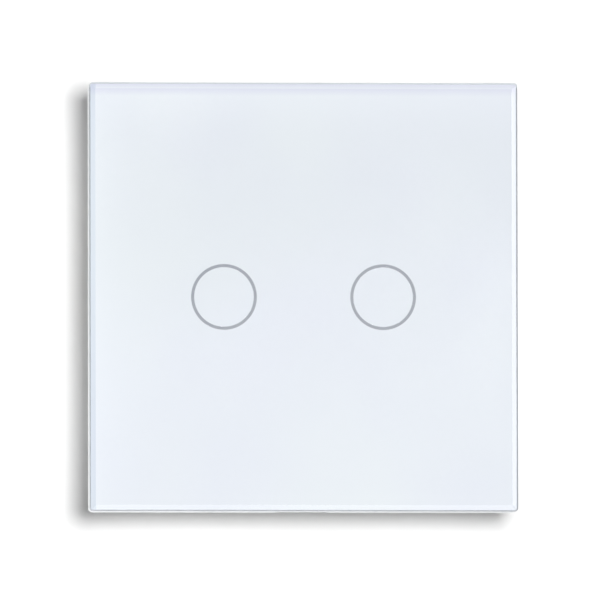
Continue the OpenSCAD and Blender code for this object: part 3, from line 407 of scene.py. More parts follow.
# %% Circuit board
RUN_LANES = 7.0
LEVEL_SHARE, UPRIGHT_SHARE, VIA_SHARE = 0.5, 0.35, 0.06
board_tracks, put, get = shader_group("board_tracks", [
    ("Resist", "Color", (0.02, 0.2, 0.08, 1)), ("Over copper", "Color", (0.06, 0.34, 0.14, 1)),
    ("Tracks", "Float", 800.0)], FINISH_OUTPUTS)
axes = add_node(board_tracks, "ShaderNodeSeparateXYZ")
join(board_tracks, object_point(board_tracks), axes.inputs[0])
across = maths(board_tracks, "MULTIPLY", axes.outputs["X"], put["Tracks"])
upward = maths(board_tracks, "MULTIPLY", axes.outputs["Z"], put["Tracks"])


def off_lane(tree, place):
    """Distance from the middle of the lane that a point lies in, in lanes."""
    return maths(tree, "ABSOLUTE", maths(tree, "SUBTRACT", maths(tree, "FRACT", place), 0.5))


def chance(tree, a, b):
    """One random number for each cell of a grid."""
    cell = add_node(tree, "ShaderNodeCombineXYZ")
    for place, name in ((a, "X"), (b, "Y")):
        join(tree, maths(tree, "FLOOR", place), cell.inputs[name])
    dice = add_node(tree, "ShaderNodeTexWhiteNoise", noise_dimensions="2D")
    join(tree, cell.outputs[0], dice.inputs["Vector"])
    return dice.outputs["Value"]


def runs(tree, lane, along_lane, share):
    """Tracks in some lanes, each with its own length and a narrow line in the lane's middle."""
    length = maths(tree, "DIVIDE", along_lane, RUN_LANES)
    used = maths(tree, "GREATER_THAN", chance(tree, lane, length), 1 - share)
    return maths(tree, "MULTIPLY", used, stretch(tree, off_lane(tree, lane), 0.2, 0.24, 1, 0))


level_runs = runs(board_tracks, upward, across, LEVEL_SHARE)
upright_runs = runs(board_tracks, across, upward, UPRIGHT_SHARE)
from_middle = add_node(board_tracks, "ShaderNodeVectorMath", operation="LENGTH")
corner = add_node(board_tracks, "ShaderNodeCombineXYZ")
join(board_tracks, off_lane(board_tracks, across), corner.inputs["X"])
join(board_tracks, off_lane(board_tracks, upward), corner.inputs["Y"])
join(board_tracks, corner.outputs[0], from_middle.inputs[0])
drilled = maths(board_tracks, "GREATER_THAN", chance(board_tracks, across, upward), 1 - VIA_SHARE)
pads = stretch(board_tracks, from_middle.outputs["Value"], 0.36, 0.4, 1, 0)
vias = maths(board_tracks, "MULTIPLY", drilled, pads)
copper = maths(board_tracks, "MAXIMUM", maths(board_tracks, "MAXIMUM", level_runs, upright_runs), vias)
join(board_tracks, blend(board_tracks, copper, put["Resist"], put["Over copper"]), get["Colour"])
cloud = noise(board_tracks, object_point(board_tracks), 500)
join(board_tracks, spread(board_tracks, cloud, 0.24, 0.4), get["Roughness"])
join(board_tracks, copper, get["Height"])
print("groups", [g.name for g in bpy.data.node_groups])

# %% [markdown]
# ## A material for each finish
# A finish takes its group's colour, roughness and height into one Principled shader. Values that are the same
# all over, such as metal or coat, are set on the shader itself. The colours are those that the real materials
# have under plain light.

# %% Materials from the shared finishes


def srgb(*levels):
    """A linear colour from 0 to 255 screen levels."""
    return tuple((v / 255 / 12.92 if v <= 10 else ((v / 255 + 0.055) / 1.055) ** 2.4) for v in levels)


def blank_material(name):
    """A material with a Principled shader. Returns the material, its tree and the shader."""
    made = bpy.data.materials.new(name)
    tree = empty_tree(made)
    shader = add_node(tree, "ShaderNodeBsdfPrincipled")
    join(tree, shader.outputs[0], add_node(tree, "ShaderNodeOutputMaterial").inputs[0])
    return made, tree, shader


def bumped(tree, shader, height, depth):
    bump = add_node(tree, "ShaderNodeBump", {"Strength": 1.0, "Distance": depth})
    join(tree, height, bump.inputs["Height"])
    join(tree, bump.outputs[0], shader.inputs["Normal"])


def finish(name, group, depth, shader_values, **group_values):
    """A material whose colour, roughness and bump come from one of the shared groups."""
    made, tree, shader = blank_material(name)
    use = add_node(tree, "ShaderNodeGroup", node_tree=group)
    for title, value in group_values.items():
        use.inputs[title.replace("_", " ")].default_value = (*value, 1) if isinstance(value, tuple) else value
    join(tree, use.outputs["Colour"], shader.inputs["Base Color"])
    join(tree, use.outputs["Roughness"], shader.inputs["Roughness"])
    bumped(tree, shader, use.outputs["Height"], depth)
    for title, value in shader_values.items():
        shader.inputs[title].default_value = value
    return made


def plastic(name, colour, roughness=0.45, drift=0.03, grain=3000.0, depth=0.004 * MM, **shader_values):
    return finish(name, moulded_skin, depth, {k.replace("_", " "): v for k, v in shader_values.items()},
                  Colour=colour, Drift=drift, Grain=grain, Roughness=roughness)


def metal(name, colour, dull, roughness=0.3, streaks=900.0, depth=0.002 * MM):
    return finish(name, plated_metal, depth, {"Metallic": 1.0}, Colour=colour, Dull=dull, Streaks=streaks,
                  Roughness=roughness)


finishes = {
    "frame_plastic": plastic("frame_plastic", srgb(240, 242, 244), 0.4, 0.02, 3600.0, Specular_IOR_Level=0.0),
    "base_plastic": plastic("base_plastic", srgb(232, 234, 234), 0.5, 0.03, 2600.0, 0.008 * MM),
    "bonding_tape": plastic("bonding_tape", srgb(214, 213, 208), 0.85, 0.08, 1500.0, 0.03 * MM),
    "guide_acrylic": plastic("guide_acrylic", srgb(236, 238, 240), 0.3, 0.02, 900.0, Subsurface_Weight=0.25,
                             Subsurface_Scale=1.5 * MM),
    "led_phosphor": plastic("led_phosphor", srgb(238, 214, 96), 0.35, 0.06),
    "black_nylon": plastic("black_nylon", srgb(34, 34, 35), 0.5, 0.15),
    "relay_case": plastic("relay_case", srgb(34, 72, 150), 0.28, 0.05, 1800.0, Coat_Weight=0.2),
    "relay_base": plastic("relay_base", srgb(38, 38, 42), 0.5, 0.12),
    "bobbin_nylon": plastic("bobbin_nylon", srgb(222, 214, 190), 0.45, 0.05),
    "brown_phenolic": plastic("brown_phenolic", srgb(96, 62, 40), 0.4, 0.18, 1200.0),
    "winding_tape": plastic("winding_tape", srgb(226, 184, 48), 0.25, 0.05, 700.0, Coat_Weight=0.3),
    "film_case": plastic("film_case", srgb(226, 178, 58), 0.3, 0.05),
    "varistor_coat": plastic("varistor_coat", srgb(36, 86, 160), 0.25, 0.08, 700.0, 0.03 * MM),
    "fuse_case": plastic("fuse_case", srgb(112, 72, 44), 0.45, 0.1),
    "choke_sleeve": plastic("choke_sleeve", srgb(30, 30, 30), 0.55, 0.15),
    "terminal_nylon": plastic("terminal_nylon", srgb(40, 128, 84), 0.42, 0.06),
    "chip_ceramic": plastic("chip_ceramic", srgb(178, 150, 116), 0.5, 0.12, 2400.0),
    "ferrite": plastic("ferrite", srgb(46, 46, 48), 0.62, 0.2, 2200.0, 0.02 * MM),
    "gilt_spring": metal("gilt_spring", srgb(234, 196, 116), srgb(196, 150, 76), 0.22),
    "gilt_pin": metal("gilt_pin", srgb(236, 200, 112), srgb(198, 152, 70), 0.2),
    "zinc_steel": metal("zinc_steel", srgb(206, 208, 210), srgb(150, 152, 156), 0.28),
    "copper_wire": metal("copper_wire", srgb(206, 120, 76), srgb(150, 78, 44), 0.3, 2600.0, 0.03 * MM),
    "soft_iron": metal("soft_iron", srgb(190, 190, 188), srgb(130, 130, 130), 0.35),
    "contact_alloy": metal("contact_alloy", srgb(216, 160, 108), srgb(164, 108, 66), 0.3),
    "tinned_brass": metal("tinned_brass", srgb(212, 204, 178), srgb(164, 148, 108), 0.3),
    "touch_board_resin": finish("touch_board_resin", board_tracks, 0.03 * MM, {"Coat Weight": 0.3},
                                Resist=srgb(14, 92, 56), Over_copper=srgb(38, 128, 84), Tracks=900.0),
    "power_board_resin": finish("power_board_resin", board_tracks, 0.04 * MM, {"Coat Weight": 0.2},
                                Resist=srgb(30, 84, 44), Over_copper=srgb(70, 122, 70), Tracks=450.0),
}
solder = metal("solder", srgb(206, 208, 212), srgb(166, 168, 172), 0.25, 1500.0)
print(len(finishes), "finishes and", solder.name)

# %% [markdown]
# ## Parts with two finishes
# A chip has black epoxy and tinned legs, and a capacitor has a dark sleeve with a pale stripe and a bare
# end. Each is one solid in the frame, so the material tells the finishes apart by where a point lies.

# %% Chips and capacitors


def along(tree, axis):
    axes = add_node(tree, "ShaderNodeSeparateXYZ")
    join(tree, object_point(tree), axes.inputs[0])
    return axes.outputs[axis]


def off_middle(tree, axis, middle):
    """Distance from a plane across one axis."""
    return maths(tree, "ABSOLUTE", maths(tree, "SUBTRACT", along(tree, axis), middle))


LEG_REACH = 1.12 * MM


def chip_finish(node):
    """Black epoxy inside the body's width, tinned metal outside it."""
    low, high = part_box(node)
    made, tree, shader = blank_material(node + "_finish")
    body_half = (high.z - low.z) / 2 - LEG_REACH
    legs = stretch(tree, off_middle(tree, "Z", (low.z + high.z) / 2), body_half, body_half + 0.02 * MM, 0, 1)
    grain = noise(tree, object_point(tree), 4200, 3)
    epoxy = spread(tree, grain, 0.012, 0.026)
    dark = add_node(tree, "ShaderNodeCombineColor")
    for channel in dark.inputs[:3]:
        join(tree, epoxy, channel)
    join(tree, blend(tree, legs, dark.outputs[0], srgb(204, 205, 206)), shader.inputs["Base Color"])
    join(tree, legs, shader.inputs["Metallic"])
    join(tree, stretch(tree, legs, 0, 1, 0.6, 0.3), shader.inputs["Roughness"])
    bumped(tree, shader, grain, 0.01 * MM)
    return made


def can_finish(node):
    """A dark shrink sleeve with one pale stripe down its side, and a bare end."""
    low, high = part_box(node)
    made, tree, shader = blank_material(node + "_finish")
    middle = (low + high) / 2
    stripe = stretch(tree, off_middle(tree, "Z", middle.z), 1.0 * MM, 1.05 * MM, 1, 0)
    side = maths(tree, "GREATER_THAN", along(tree, "X"), middle.x)
    end = stretch(tree, along(tree, "Y"), high.y - 0.06 * MM, high.y - 0.04 * MM, 0, 1)
    sleeve = blend(tree, maths(tree, "MULTIPLY", stripe, side), srgb(30, 34, 62), srgb(188, 192, 204))
    join(tree, blend(tree, end, sleeve, srgb(196, 198, 200)), shader.inputs["Base Color"])
    join(tree, end, shader.inputs["Metallic"])
    wrinkle = noise(tree, object_point(tree), 900, 2)
    join(tree, spread(tree, wrinkle, 0.22, 0.36), shader.inputs["Roughness"])
    bumped(tree, shader, wrinkle, 0.02 * MM)
    return made


special = {n: chip_finish(n) for n in ("touch_chip", "bridge_rectifier", "power_chip")}
special.update({n: can_finish(n) for n in ("bulk_capacitor", "output_capacitor")})
for name, node in nodes.items():
    coat = special.get(name) or finishes.get(slot_of[name])
    if coat:
        node.data.materials.clear()
        node.data.materials.append(coat)
waiting = sorted(n for n in nodes if not (n in special or slot_of[n] in finishes))
print("waiting for their own finish:", waiting)

# %% [markdown]
# ## Bare edges of the boards
# A circuit board is routed and drilled out of a sheet of laminate. Only its two sides are coated, so the rim
# and the walls of its holes show the pale resin. Each face of the mesh takes its finish by the way it faces.

# %% Bare edges of the boards
COATED_FROM = 0.5
laminate = plastic("laminate", srgb(196, 184, 136), 0.6, 0.12, 4000.0)
for name in ("touch_board", "power_board"):
    board = nodes[name].data
    board.materials.append(laminate)
    for face in board.polygons:
        face.material_index = int(abs(face.normal.y) < COATED_FROM)
    print(name, sum(face.material_index for face in board.polygons), "bare faces")

# %% [markdown]
# ## The glass, its print and its rings
# The glass is clear, with a polished bevel round the front and a matt ground edge outside that, which reads
# as a grey line. Lamps and scattered light have to reach the print behind it, so rays that only carry light
# pass straight through, and rays that carry an image bend as in real glass. The bevel has painted shade, which
# makes it a little darker and bluer, most of all at the left, and the ground edge has painted light, which
# makes it paler along the top. The print is a cool white with painted shade along its upper rim, and the rings
# are a grey ink with a fine speckle.

# %% Glass materials
glass_low, glass_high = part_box("glass_panel")
HALF = glass_high.x
FRONT, BACK = glass_low.y, glass_high.y
GLASS_IOR = 1.52
# The bevel colours are painted shade: a little darker and bluer all round, much darker on the left bevel.
CLEAR_TINT, BEVEL_SHADE, LEFT_BEVEL_SHADE = (0.97, 0.99, 1.0), (0.95, 0.965, 0.99), (0.71, 0.775, 0.85)
CORNER = 0.55 * MM
BEVEL = 0.95 * MM
GROUND_IN, GROUND_DEEP = 0.22 * MM, 0.25 * MM
OFF_CENTRE = 0.1 * MM
ARRIS = 0.3 * MM
BEVEL_FROM = HALF - GROUND_IN - BEVEL


def let_light_through(tree, shader):
    """Lamps and scattered light pass straight through; rays that carry an image meet the shader."""
    path = add_node(tree, "ShaderNodeLightPath").outputs
    clear = add_node(tree, "ShaderNodeBsdfTransparent").outputs[0]
    surface = shader.outputs[0]
    for ray in ("Is Diffuse Ray", "Is Shadow Ray"):
        mixed = add_node(tree, "ShaderNodeMixShader")
        join(tree, path[ray], mixed.inputs[0])
        join(tree, surface, mixed.inputs[1])
        join(tree, clear, mixed.inputs[2])
        surface = mixed.outputs[0]
    end = next(n for n in tree.nodes if n.type == "OUTPUT_MATERIAL")
    join(tree, surface, end.inputs[0])


def glass_finish():
    made, tree, shader = blank_material("clear_glass")
    shader.inputs["Transmission Weight"].default_value = 1.0
    shader.inputs["IOR"].default_value = GLASS_IOR
    out = maths(tree, "MAXIMUM", off_middle(tree, "X", -OFF_CENTRE), off_middle(tree, "Z", -OFF_CENTRE))
    bevel = maths(tree, "GREATER_THAN", out, BEVEL_FROM)
    # Painted shade: the glass is tinted darker over the bevel, and darker still over the left bevel.
    left = maths(tree, "LESS_THAN", along(tree, "X"), -BEVEL_FROM)
    painted_bevel_shade = blend(tree, left, BEVEL_SHADE, LEFT_BEVEL_SHADE)
    join(tree, blend(tree, bevel, CLEAR_TINT, painted_bevel_shade), shader.inputs["Base Color"])
    smear = noise(tree, object_point(tree), 35, 3)
    join(tree, stretch(tree, smear, 0.35, 0.75, 0.0, 0.015), shader.inputs["Roughness"])
    let_light_through(tree, shader)
    return made


def ground_finish():
    """The matt edge that the wheel leaves, with fine scratches along it, and painted light that makes its top
    paler.
    """
    made, tree, shader = blank_material("ground_edge")
    scratches = noise(tree, object_point(tree), 14000, 4)
    pale = spread(tree, scratches, 0, 1)
    # Painted light: the edge turns pale towards the top, as if lit from above.
    painted_light_top = stretch(tree, along(tree, "Z"), HALF - 1.2 * MM, HALF - 0.6 * MM, 0, 1)
    grey = blend(tree, pale, srgb(156, 160, 168), srgb(178, 182, 190))
    join(tree, blend(tree, painted_light_top, grey, srgb(212, 217, 223)), shader.inputs["Base Color"])
    join(tree, spread(tree, scratches, 0.5, 0.7), shader.inputs["Roughness"])
    bumped(tree, shader, scratches, 0.01 * MM)
    let_light_through(tree, shader)
    return made


clear_glass, ground_edge = glass_finish(), ground_finish()
print("materials", clear_glass.name, ground_edge.name)

# %% Print and ink materials
PRINT_WHITE = srgb(235, 240, 244)
PRINT_THIN = srgb(231, 235, 243)
PRINT_SHADED = srgb(222, 225, 238)
SHADE_FROM, SHADE_TO = HALF - 2.6 * MM, HALF - 1.2 * MM


def print_finish():
    made, tree, shader = blank_material("white_print")
    cloud = stretch(tree, noise(tree, object_point(tree), 22, 2), 0.35, 0.65, 0, 1)
    # Painted shade: the print is darker and more lavender along its upper rim.
    shaded = stretch(tree, along(tree, "Z"), SHADE_FROM, SHADE_TO, 0, 1)
    face = blend(tree, cloud, PRINT_WHITE, PRINT_THIN)
    join(tree, blend(tree, shaded, face, PRINT_SHADED), shader.inputs["Base Color"])
    speck = noise(tree, object_point(tree), 6000, 2)
    join(tree, spread(tree, speck, 0.5, 0.6), shader.inputs["Roughness"])
    shader.inputs["Specular IOR Level"].default_value = 0.0
    return made


def ink_finish():
    made, tree, shader = blank_material("ring_print")
    speck = stretch(tree, noise(tree, object_point(tree), 7000, 3), 0.35, 0.65, 0, 1)
    join(tree, blend(tree, speck, srgb(162, 166, 175), srgb(174, 178, 187)), shader.inputs["Base Color"])
    join(tree, stretch(tree, speck, 0, 1, 0.5, 0.6), shader.inputs["Roughness"])
    shader.inputs["Specular IOR Level"].default_value = 0.0
    return made


white_print, ring_print = print_finish(), ink_finish()
print("materials", white_print.name, ring_print.name)

# %% [markdown]
# ## Glass pane
# A Bevel modifier on a box would give the bevel, but not its two finishes or its pointed corners. So the pane
# is a stack of rounded squares, from the middle of the front to the middle of the back, and the same number of
# points in each lets plain quads join them. The bevel's corners run almost to a point, as a mitre does, and
# the two materials split at the bevel's outer line. The wheel took a tenth of a millimetre more off the right
# and upper edges, which makes their grey lines wider, as in the photograph.

# %% Glass pane


def place(name, mesh, body, slot, *replaced):
    """Makes mesh a piece of the object on that body, in place of those nodes."""
    made = bpy.data.objects.new(name, mesh)
    scene.collection.objects.link(made)
    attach(made, body)
    if replaced:
        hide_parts(*replaced)
    return made


SMOOTH = math.radians(20)


def mesh_of(name, shape, *materials):
    """A mesh from a bmesh: faces outwards, and smooth but for sharp edges and lines between finishes."""
    bmesh.ops.recalc_face_normals(shape, faces=shape.faces)
    if shape.calc_volume(signed=True) < 0:
        bmesh.ops.reverse_faces(shape, faces=shape.faces)
    mesh = bpy.data.meshes.new(name)
    for edge in shape.edges:
        one_finish = len({face.material_index for face in edge.link_faces}) == 1
        edge.smooth = one_finish and len(edge.link_faces) == 2 and edge.calc_face_angle(0) < SMOOTH
    for face in shape.faces:
        face.smooth = True
    shape.to_mesh(mesh)
    shape.free()
    for coat in materials:
        mesh.materials.append(coat)
    return mesh


def rounded_square(half, radius, steps):
    """Points of a square with rounded corners, in x and z."""
    points = []
    for quarter in range(4):
        start = quarter * math.pi / 2
        corner = [(1, 1), (-1, 1), (-1, -1), (1, -1)][quarter]
        for i in range(steps + 1):
            angle = start + math.pi / 2 * i / steps
            points.append((corner[0] * (half - radius) + radius * math.cos(angle),
                           corner[1] * (half - radius) + radius * math.sin(angle)))
    return points


def lofted(loops):
    """Loops of as many points each, joined by quads and closed at both ends."""
    shape = bmesh.new()
    rows = [[shape.verts.new(p) for p in loop] for loop in loops]
    for a, b in zip(rows, rows[1:]):
        for i in range(len(a)):
            j = (i + 1) % len(a)
            shape.faces.new((a[i], a[j], b[j], b[i]))
    for row in (rows[0], rows[-1]):
        middle = shape.verts.new(sum((v.co for v in row), Vector()) / len(row))
        for i in range(len(row)):
            shape.faces.new((row[i], row[(i + 1) % len(row)], middle))
    return shape


CORNER_STEPS = 8
MITRED, EASED = 0.45 * MM, 0.2 * MM


def square_loop(inset, y, sharpened, shift=0):
    """A rounded square at one depth, with its corners sharpened by that much."""
    outline = rounded_square(HALF - inset, CORNER - sharpened, CORNER_STEPS)
    return [(x - shift, y, z - shift) for x, z in outline]


pane_shape = lofted([
    square_loop(GROUND_IN + BEVEL, FRONT, MITRED, OFF_CENTRE),
    square_loop(GROUND_IN, FRONT + BEVEL, EASED, OFF_CENTRE),
    square_loop(0, FRONT + BEVEL + GROUND_DEEP, 0),
    square_loop(0, BACK - ARRIS, 0),
    square_loop(ARRIS, BACK, EASED),
])
for face in pane_shape.faces:
    middle = face.calc_center_median()
    face.material_index = int(FRONT + BEVEL < middle.y < BACK - ARRIS / 4)
pane_mesh = mesh_of("glass_pane", pane_shape, clear_glass, ground_edge)
place("glass_pane", pane_mesh, "panel", "clear_glass", "glass_panel")
print("pane", len(pane_mesh.polygons), "faces")

# %% [markdown]
# ## Print and rings
# The printed film touches the glass, and two surfaces in one plane would flicker. On the real panel the ink
# wets the glass and no air is left between them. Copies of the film and the ring marks whose front lies just
# inside the glass look the same way. Light that enters the left edge of the real glass spreads a little way
# over the print, so a slim lamp beside that edge lights the print alone.

# %% Print and rings
WETTING = 0.02 * MM
SAME_POINT = 1e-7
SAME_PLANE = math.radians(0.5)


def copied(node):
    """A bmesh copy of a node's mesh, with its loose triangles joined."""
    shape = bmesh.new()
    shape.from_mesh(nodes[node].data)
    bmesh.ops.remove_doubles(shape, verts=shape.verts, dist=SAME_POINT)
    return shape


def whole_faces(node):
    """The same, with the triangles of each flat face made one."""
    shape = copied(node)
    bmesh.ops.dissolve_limit(shape, angle_limit=SAME_PLANE, verts=shape.verts, edges=shape.edges)
    return shape


def wetted(node, piece, coat):
    """A copy of a node whose front lies just inside the glass, in the node's place."""
    shape = whole_faces(node)
    front = min(v.co.y for v in shape.verts)
    for v in shape.verts:
        if v.co.y < front + WETTING:
            v.co.y = front - WETTING
    return place(piece, mesh_of(piece, shape, coat), "panel", slot_of[node], node)


sheet = wetted("printed_film", "face_print", white_print)
rings = wetted("ring_marks", "touch_rings", ring_print)
edge_glow = lamp("edge_glow", "AREA", (-HALF - 3 * MM, FRONT - 1 * MM, 0), (0, BACK, 0), 0.0004,
                 size=(2 * MM, 2 * HALF))
lit_only(edge_glow, sheet)
print("print", len(sheet.data.polygons), "faces, rings", len(rings.data.polygons))

# %% [markdown]
# ## Mouldings
# A moulded part has no knife edges: each corner of its tool is broken by a tenth of a millimetre or so, and
# the rounded edge catches the light. Joined copies of the visible mouldings and turned parts get that, and
# round surfaces are shaded smooth. The small lamps stay off the print, which the main light lights evenly,
# and off the green terminals, which would tint the shadow. Scattered light passes the terminals and the rear
# cover by, so that the shadow stays grey and even.

# %% Mouldings with broken edges
SHARP = math.radians(35)
ROUNDING = dict(segments=2, profile=0.6, affect="EDGES")


def evenly_shaded(mesh):
    """The mesh with its shading weighed by face area: a flat face stays flat beside a rounded edge."""
    holder = bpy.data.objects.new("holder", mesh)
    scene.collection.objects.link(holder)
    holder.modifiers.new("weigh", "WEIGHTED_NORMAL").keep_sharp = True
    shaded = bpy.data.meshes.new_from_object(holder.evaluated_get(bpy.context.evaluated_depsgraph_get()))
    bpy.data.objects.remove(holder)
    shaded.name = mesh.name
    return shaded


def softened(node, width):
    """A joined copy of a node with its sharp edges rounded, in the node's place."""
    shape = whole_faces(node)
    sharp = [e for e in shape.edges if e.is_convex and e.calc_face_angle(0) > SHARP]
    bmesh.ops.bevel(shape, geom=sharp, offset=width, clamp_overlap=False, **ROUNDING)
    piece = node + "_soft"
    mesh = evenly_shaded(mesh_of(piece, shape, finishes[slot_of[node]]))
    return place(piece, mesh, body_of[node], slot_of[node], node)


broken_edges = {"panel_frame": 0.12, "base_plate": 0.08, "rear_cover": 0.12, "terminal_housings": 0.1}
broken_edges.update({"terminal_screw_%d" % i: 0.08 for i in (1, 2, 3, 4)})
broken_edges.update({"light_guide_left": 0.05, "light_guide_right": 0.05})
soft = {node: softened(node, width * MM) for node, width in broken_edges.items()}
for rear_piece in ("terminal_housings", "rear_cover"):
    soft[rear_piece].visible_diffuse = False
for small in (fill, right_strip, lower_strip):
    lit_only(small, excluded=(backdrop, sheet, rings, soft["terminal_housings"]))
lit_only(underside, soft["panel_frame"])
print({node: len(made.data.polygons) for node, made in soft.items()})

# %% [markdown]
# ## Small parts set on points
# The screws, the chip resistors and their solder are each one part that comes back many times. Copying
# objects in a loop would do, but Geometry Nodes keeps the rule in one place: it sets a pattern part on
# points, turns each by its own seeded angle and gives it its finish. The points come from the middles of the
# CAD solids. A second recipe draws a round wire along a line.

# %% Helpers for recipes


def recipe(name, inputs):
    """An empty Geometry Nodes tree. Returns it with its group input's and output's sockets."""
    tree = bpy.data.node_groups.new(name, "GeometryNodeTree")
    for title, kind in [("Geometry", "Geometry")] + inputs:
        tree.interface.new_socket(title, in_out="INPUT", socket_type="NodeSocket" + kind)
    tree.interface.new_socket("Geometry", in_out="OUTPUT", socket_type="NodeSocketGeometry")
    return tree, tree.nodes.new("NodeGroupInput").outputs, tree.nodes.new("NodeGroupOutput").inputs


def close_recipe(tree, shape, coat, end):
    """Ends a recipe with real geometry that has its finish."""
    real = add_node(tree, "GeometryNodeRealizeInstances")
    coated = add_node(tree, "GeometryNodeSetMaterial")
    join(tree, shape, real.inputs["Geometry"])
    join(tree, real.outputs[0], coated.inputs["Geometry"])
    join(tree, coat, coated.inputs["Material"])
    join(tree, coated.outputs[0], end["Geometry"])


print("helpers for recipes ready")

# %% Recipe for parts set on points
set_on_points, put, get = recipe("set_on_points", [
    ("Part", "Object"), ("Turn", "Float"), ("Seed", "Int"), ("Finish", "Material")])
dots = add_node(set_on_points, "GeometryNodeMeshToPoints")
join(set_on_points, put["Geometry"], dots.inputs["Mesh"])
part = add_node(set_on_points, "GeometryNodeObjectInfo", {"As Instance": True})
join(set_on_points, put["Part"], part.inputs["Object"])
angle = add_node(set_on_points, "FunctionNodeRandomValue", data_type="FLOAT")
join(set_on_points, put["Turn"], angle.inputs[3])
join(set_on_points, put["Seed"], angle.inputs["Seed"])
about_y = add_node(set_on_points, "ShaderNodeCombineXYZ")
join(set_on_points, angle.outputs[1], about_y.inputs["Y"])
each = add_node(set_on_points, "GeometryNodeInstanceOnPoints")
join(set_on_points, dots.outputs[0], each.inputs["Points"])
join(set_on_points, part.outputs["Geometry"], each.inputs["Instance"])
join(set_on_points, about_y.outputs[0], each.inputs["Rotation"])
close_recipe(set_on_points, each.outputs[0], put["Finish"], get)
print(set_on_points.name, len(set_on_points.nodes), "nodes")

# %% Recipe for bent wire
WIRE_SIDES = 14
bent_wire, put, get = recipe("bent_wire", [("Thickness", "Float"), ("Finish", "Material")])
line = add_node(bent_wire, "GeometryNodeMeshToCurve")
join(bent_wire, put["Geometry"], line.inputs["Mesh"])
section = add_node(bent_wire, "GeometryNodeCurvePrimitiveCircle", {"Resolution": WIRE_SIDES})
join(bent_wire, maths(bent_wire, "MULTIPLY", put["Thickness"], 0.5), section.inputs["Radius"])
drawn = add_node(bent_wire, "GeometryNodeCurveToMesh", {"Fill Caps": True})
join(bent_wire, line.outputs[0], drawn.inputs["Curve"])
join(bent_wire, section.outputs[0], drawn.inputs["Profile Curve"])
round_wire = add_node(bent_wire, "GeometryNodeSetShadeSmooth")
join(bent_wire, drawn.outputs[0], round_wire.inputs["Geometry"])
close_recipe(bent_wire, round_wire.outputs[0], put["Finish"], get)
print(bent_wire.name, len(bent_wire.nodes), "nodes")

# %% Running a recipe


def grown(name, tree, points, edges=(), **inputs):
    """Runs a recipe on points and edges. Returns the result as a plain mesh."""
    cloud = bpy.data.meshes.new(name + "_points")
    cloud.from_pydata(points, edges, [])
    host = bpy.data.objects.new(name + "_points", cloud)
    scene.collection.objects.link(host)
    modifier = host.modifiers.new(name, "NODES")
    modifier.node_group = tree
    for item in tree.interface.items_tree:
        if item.in_out == "INPUT" and item.name in inputs:
            modifier[item.identifier] = inputs[item.name]
    graph = bpy.context.evaluated_depsgraph_get()
    mesh = bpy.data.meshes.new_from_object(host.evaluated_get(graph), depsgraph=graph)
    mesh.name = name
    host.modifiers.clear()
    bpy.data.objects.remove(host)
    return mesh


def pattern(name, shape):
    """A pattern part, out of the scene, for the recipe to copy."""
    return bpy.data.objects.new(name, mesh_of(name, shape))


def islands(node):
    """The lowest and highest corners of each separate solid in a node."""
    shape = copied(node)
    boxes, seen = [], set()
    for first in shape.verts:
        reached = [] if first in seen else [first]
        seen.add(first)
        for v in reached:
            fresh = {e.other_vert(v) for e in v.link_edges} - seen
            seen |= fresh
            reached.extend(fresh)
        if reached:
            boxes.append([Vector(f(v.co[i] for v in reached) for i in range(3)) for f in (min, max)])
    shape.free()
    return boxes


print("solids", {n: len(islands(n)) for n in ("cover_screws", "touch_board_screws")})

# %% [markdown]
# ## Cross-recess screws
# The cover and the touch board are held by pan-head screws with a cross recess. Cutting the recess with a
# Boolean leaves ragged faces. Here a cross has as many points as a circle, so one stack of outlines runs from
# the floor of the recess over the head and down the shank, in clean quads.

# %% Cross-recess screws
SCREW_STEPS = 24


def circle(radius):
    turns = [2 * math.pi * i / SCREW_STEPS for i in range(SCREW_STEPS)]
    return [(radius * math.cos(a), radius * math.sin(a)) for a in turns]


def cross(arm, web):
    """A cross outline with as many points as a circle, in step with it."""
    elbow = (arm + web) / 2
    quarter = [(arm, 0), (arm, web), (elbow, web), (web, web), (web, elbow), (web, arm)]
    points = []
    for _ in range(4):
        points += quarter
        quarter = [(-z, x) for x, z in quarter]
    return points


def cross_screw(name, head_d, head_h, shank_d, length, facing):
    """A pan-head screw on the y axis, seated at y = 0, with its head towards facing."""
    arm, web = 0.29 * head_d, 0.065 * head_d
    sections = [
        (cross(arm * 0.7, web * 0.7), head_h * 0.3), (cross(arm, web), head_h * 0.98),
        (circle(head_d * 0.34), head_h), (circle(head_d * 0.42), head_h * 0.92),
        (circle(head_d * 0.475), head_h * 0.72), (circle(head_d * 0.5), head_h * 0.4),
        (circle(head_d * 0.5), 0), (circle(shank_d * 0.5), 0),
        (circle(shank_d * 0.5), shank_d * 0.3 - length), (circle(shank_d * 0.3), -length)]
    return pattern(name, lofted([[(x, facing * y, z) for x, z in outline] for outline, y in sections]))


def set_screws(node, head_d, head_h, shank_d, facing, seed):
    """Cross-recess screws in place of a node's plain ones."""
    boxes = islands(node)
    depth = boxes[0][1].y - boxes[0][0].y
    screw = cross_screw(node + "_pattern", head_d, head_h, shank_d, depth - head_h, facing)
    seat = boxes[0][1].y - head_h if facing > 0 else boxes[0][0].y + head_h
    points = [((low.x + high.x) / 2, seat, (low.z + high.z) / 2) for low, high in boxes]
    mesh = grown(node + "_set", set_on_points, points, Part=screw, Turn=math.pi / 2, Seed=seed,
                 Finish=finishes["zinc_steel"])
    return place(node + "_set", mesh, body_of[node], slot_of[node], node)


COVER_SCREW = dict(head_d=4.6 * MM, head_h=1.6 * MM, shank_d=2.5 * MM)
BOARD_SCREW = dict(head_d=3.6 * MM, head_h=1.2 * MM, shank_d=2.0 * MM)
for made in (set_screws("cover_screws", facing=1, seed=3, **COVER_SCREW),
             set_screws("touch_board_screws", facing=-1, seed=8, **BOARD_SCREW)):
    print(made.name, len(made.data.polygons), "faces")

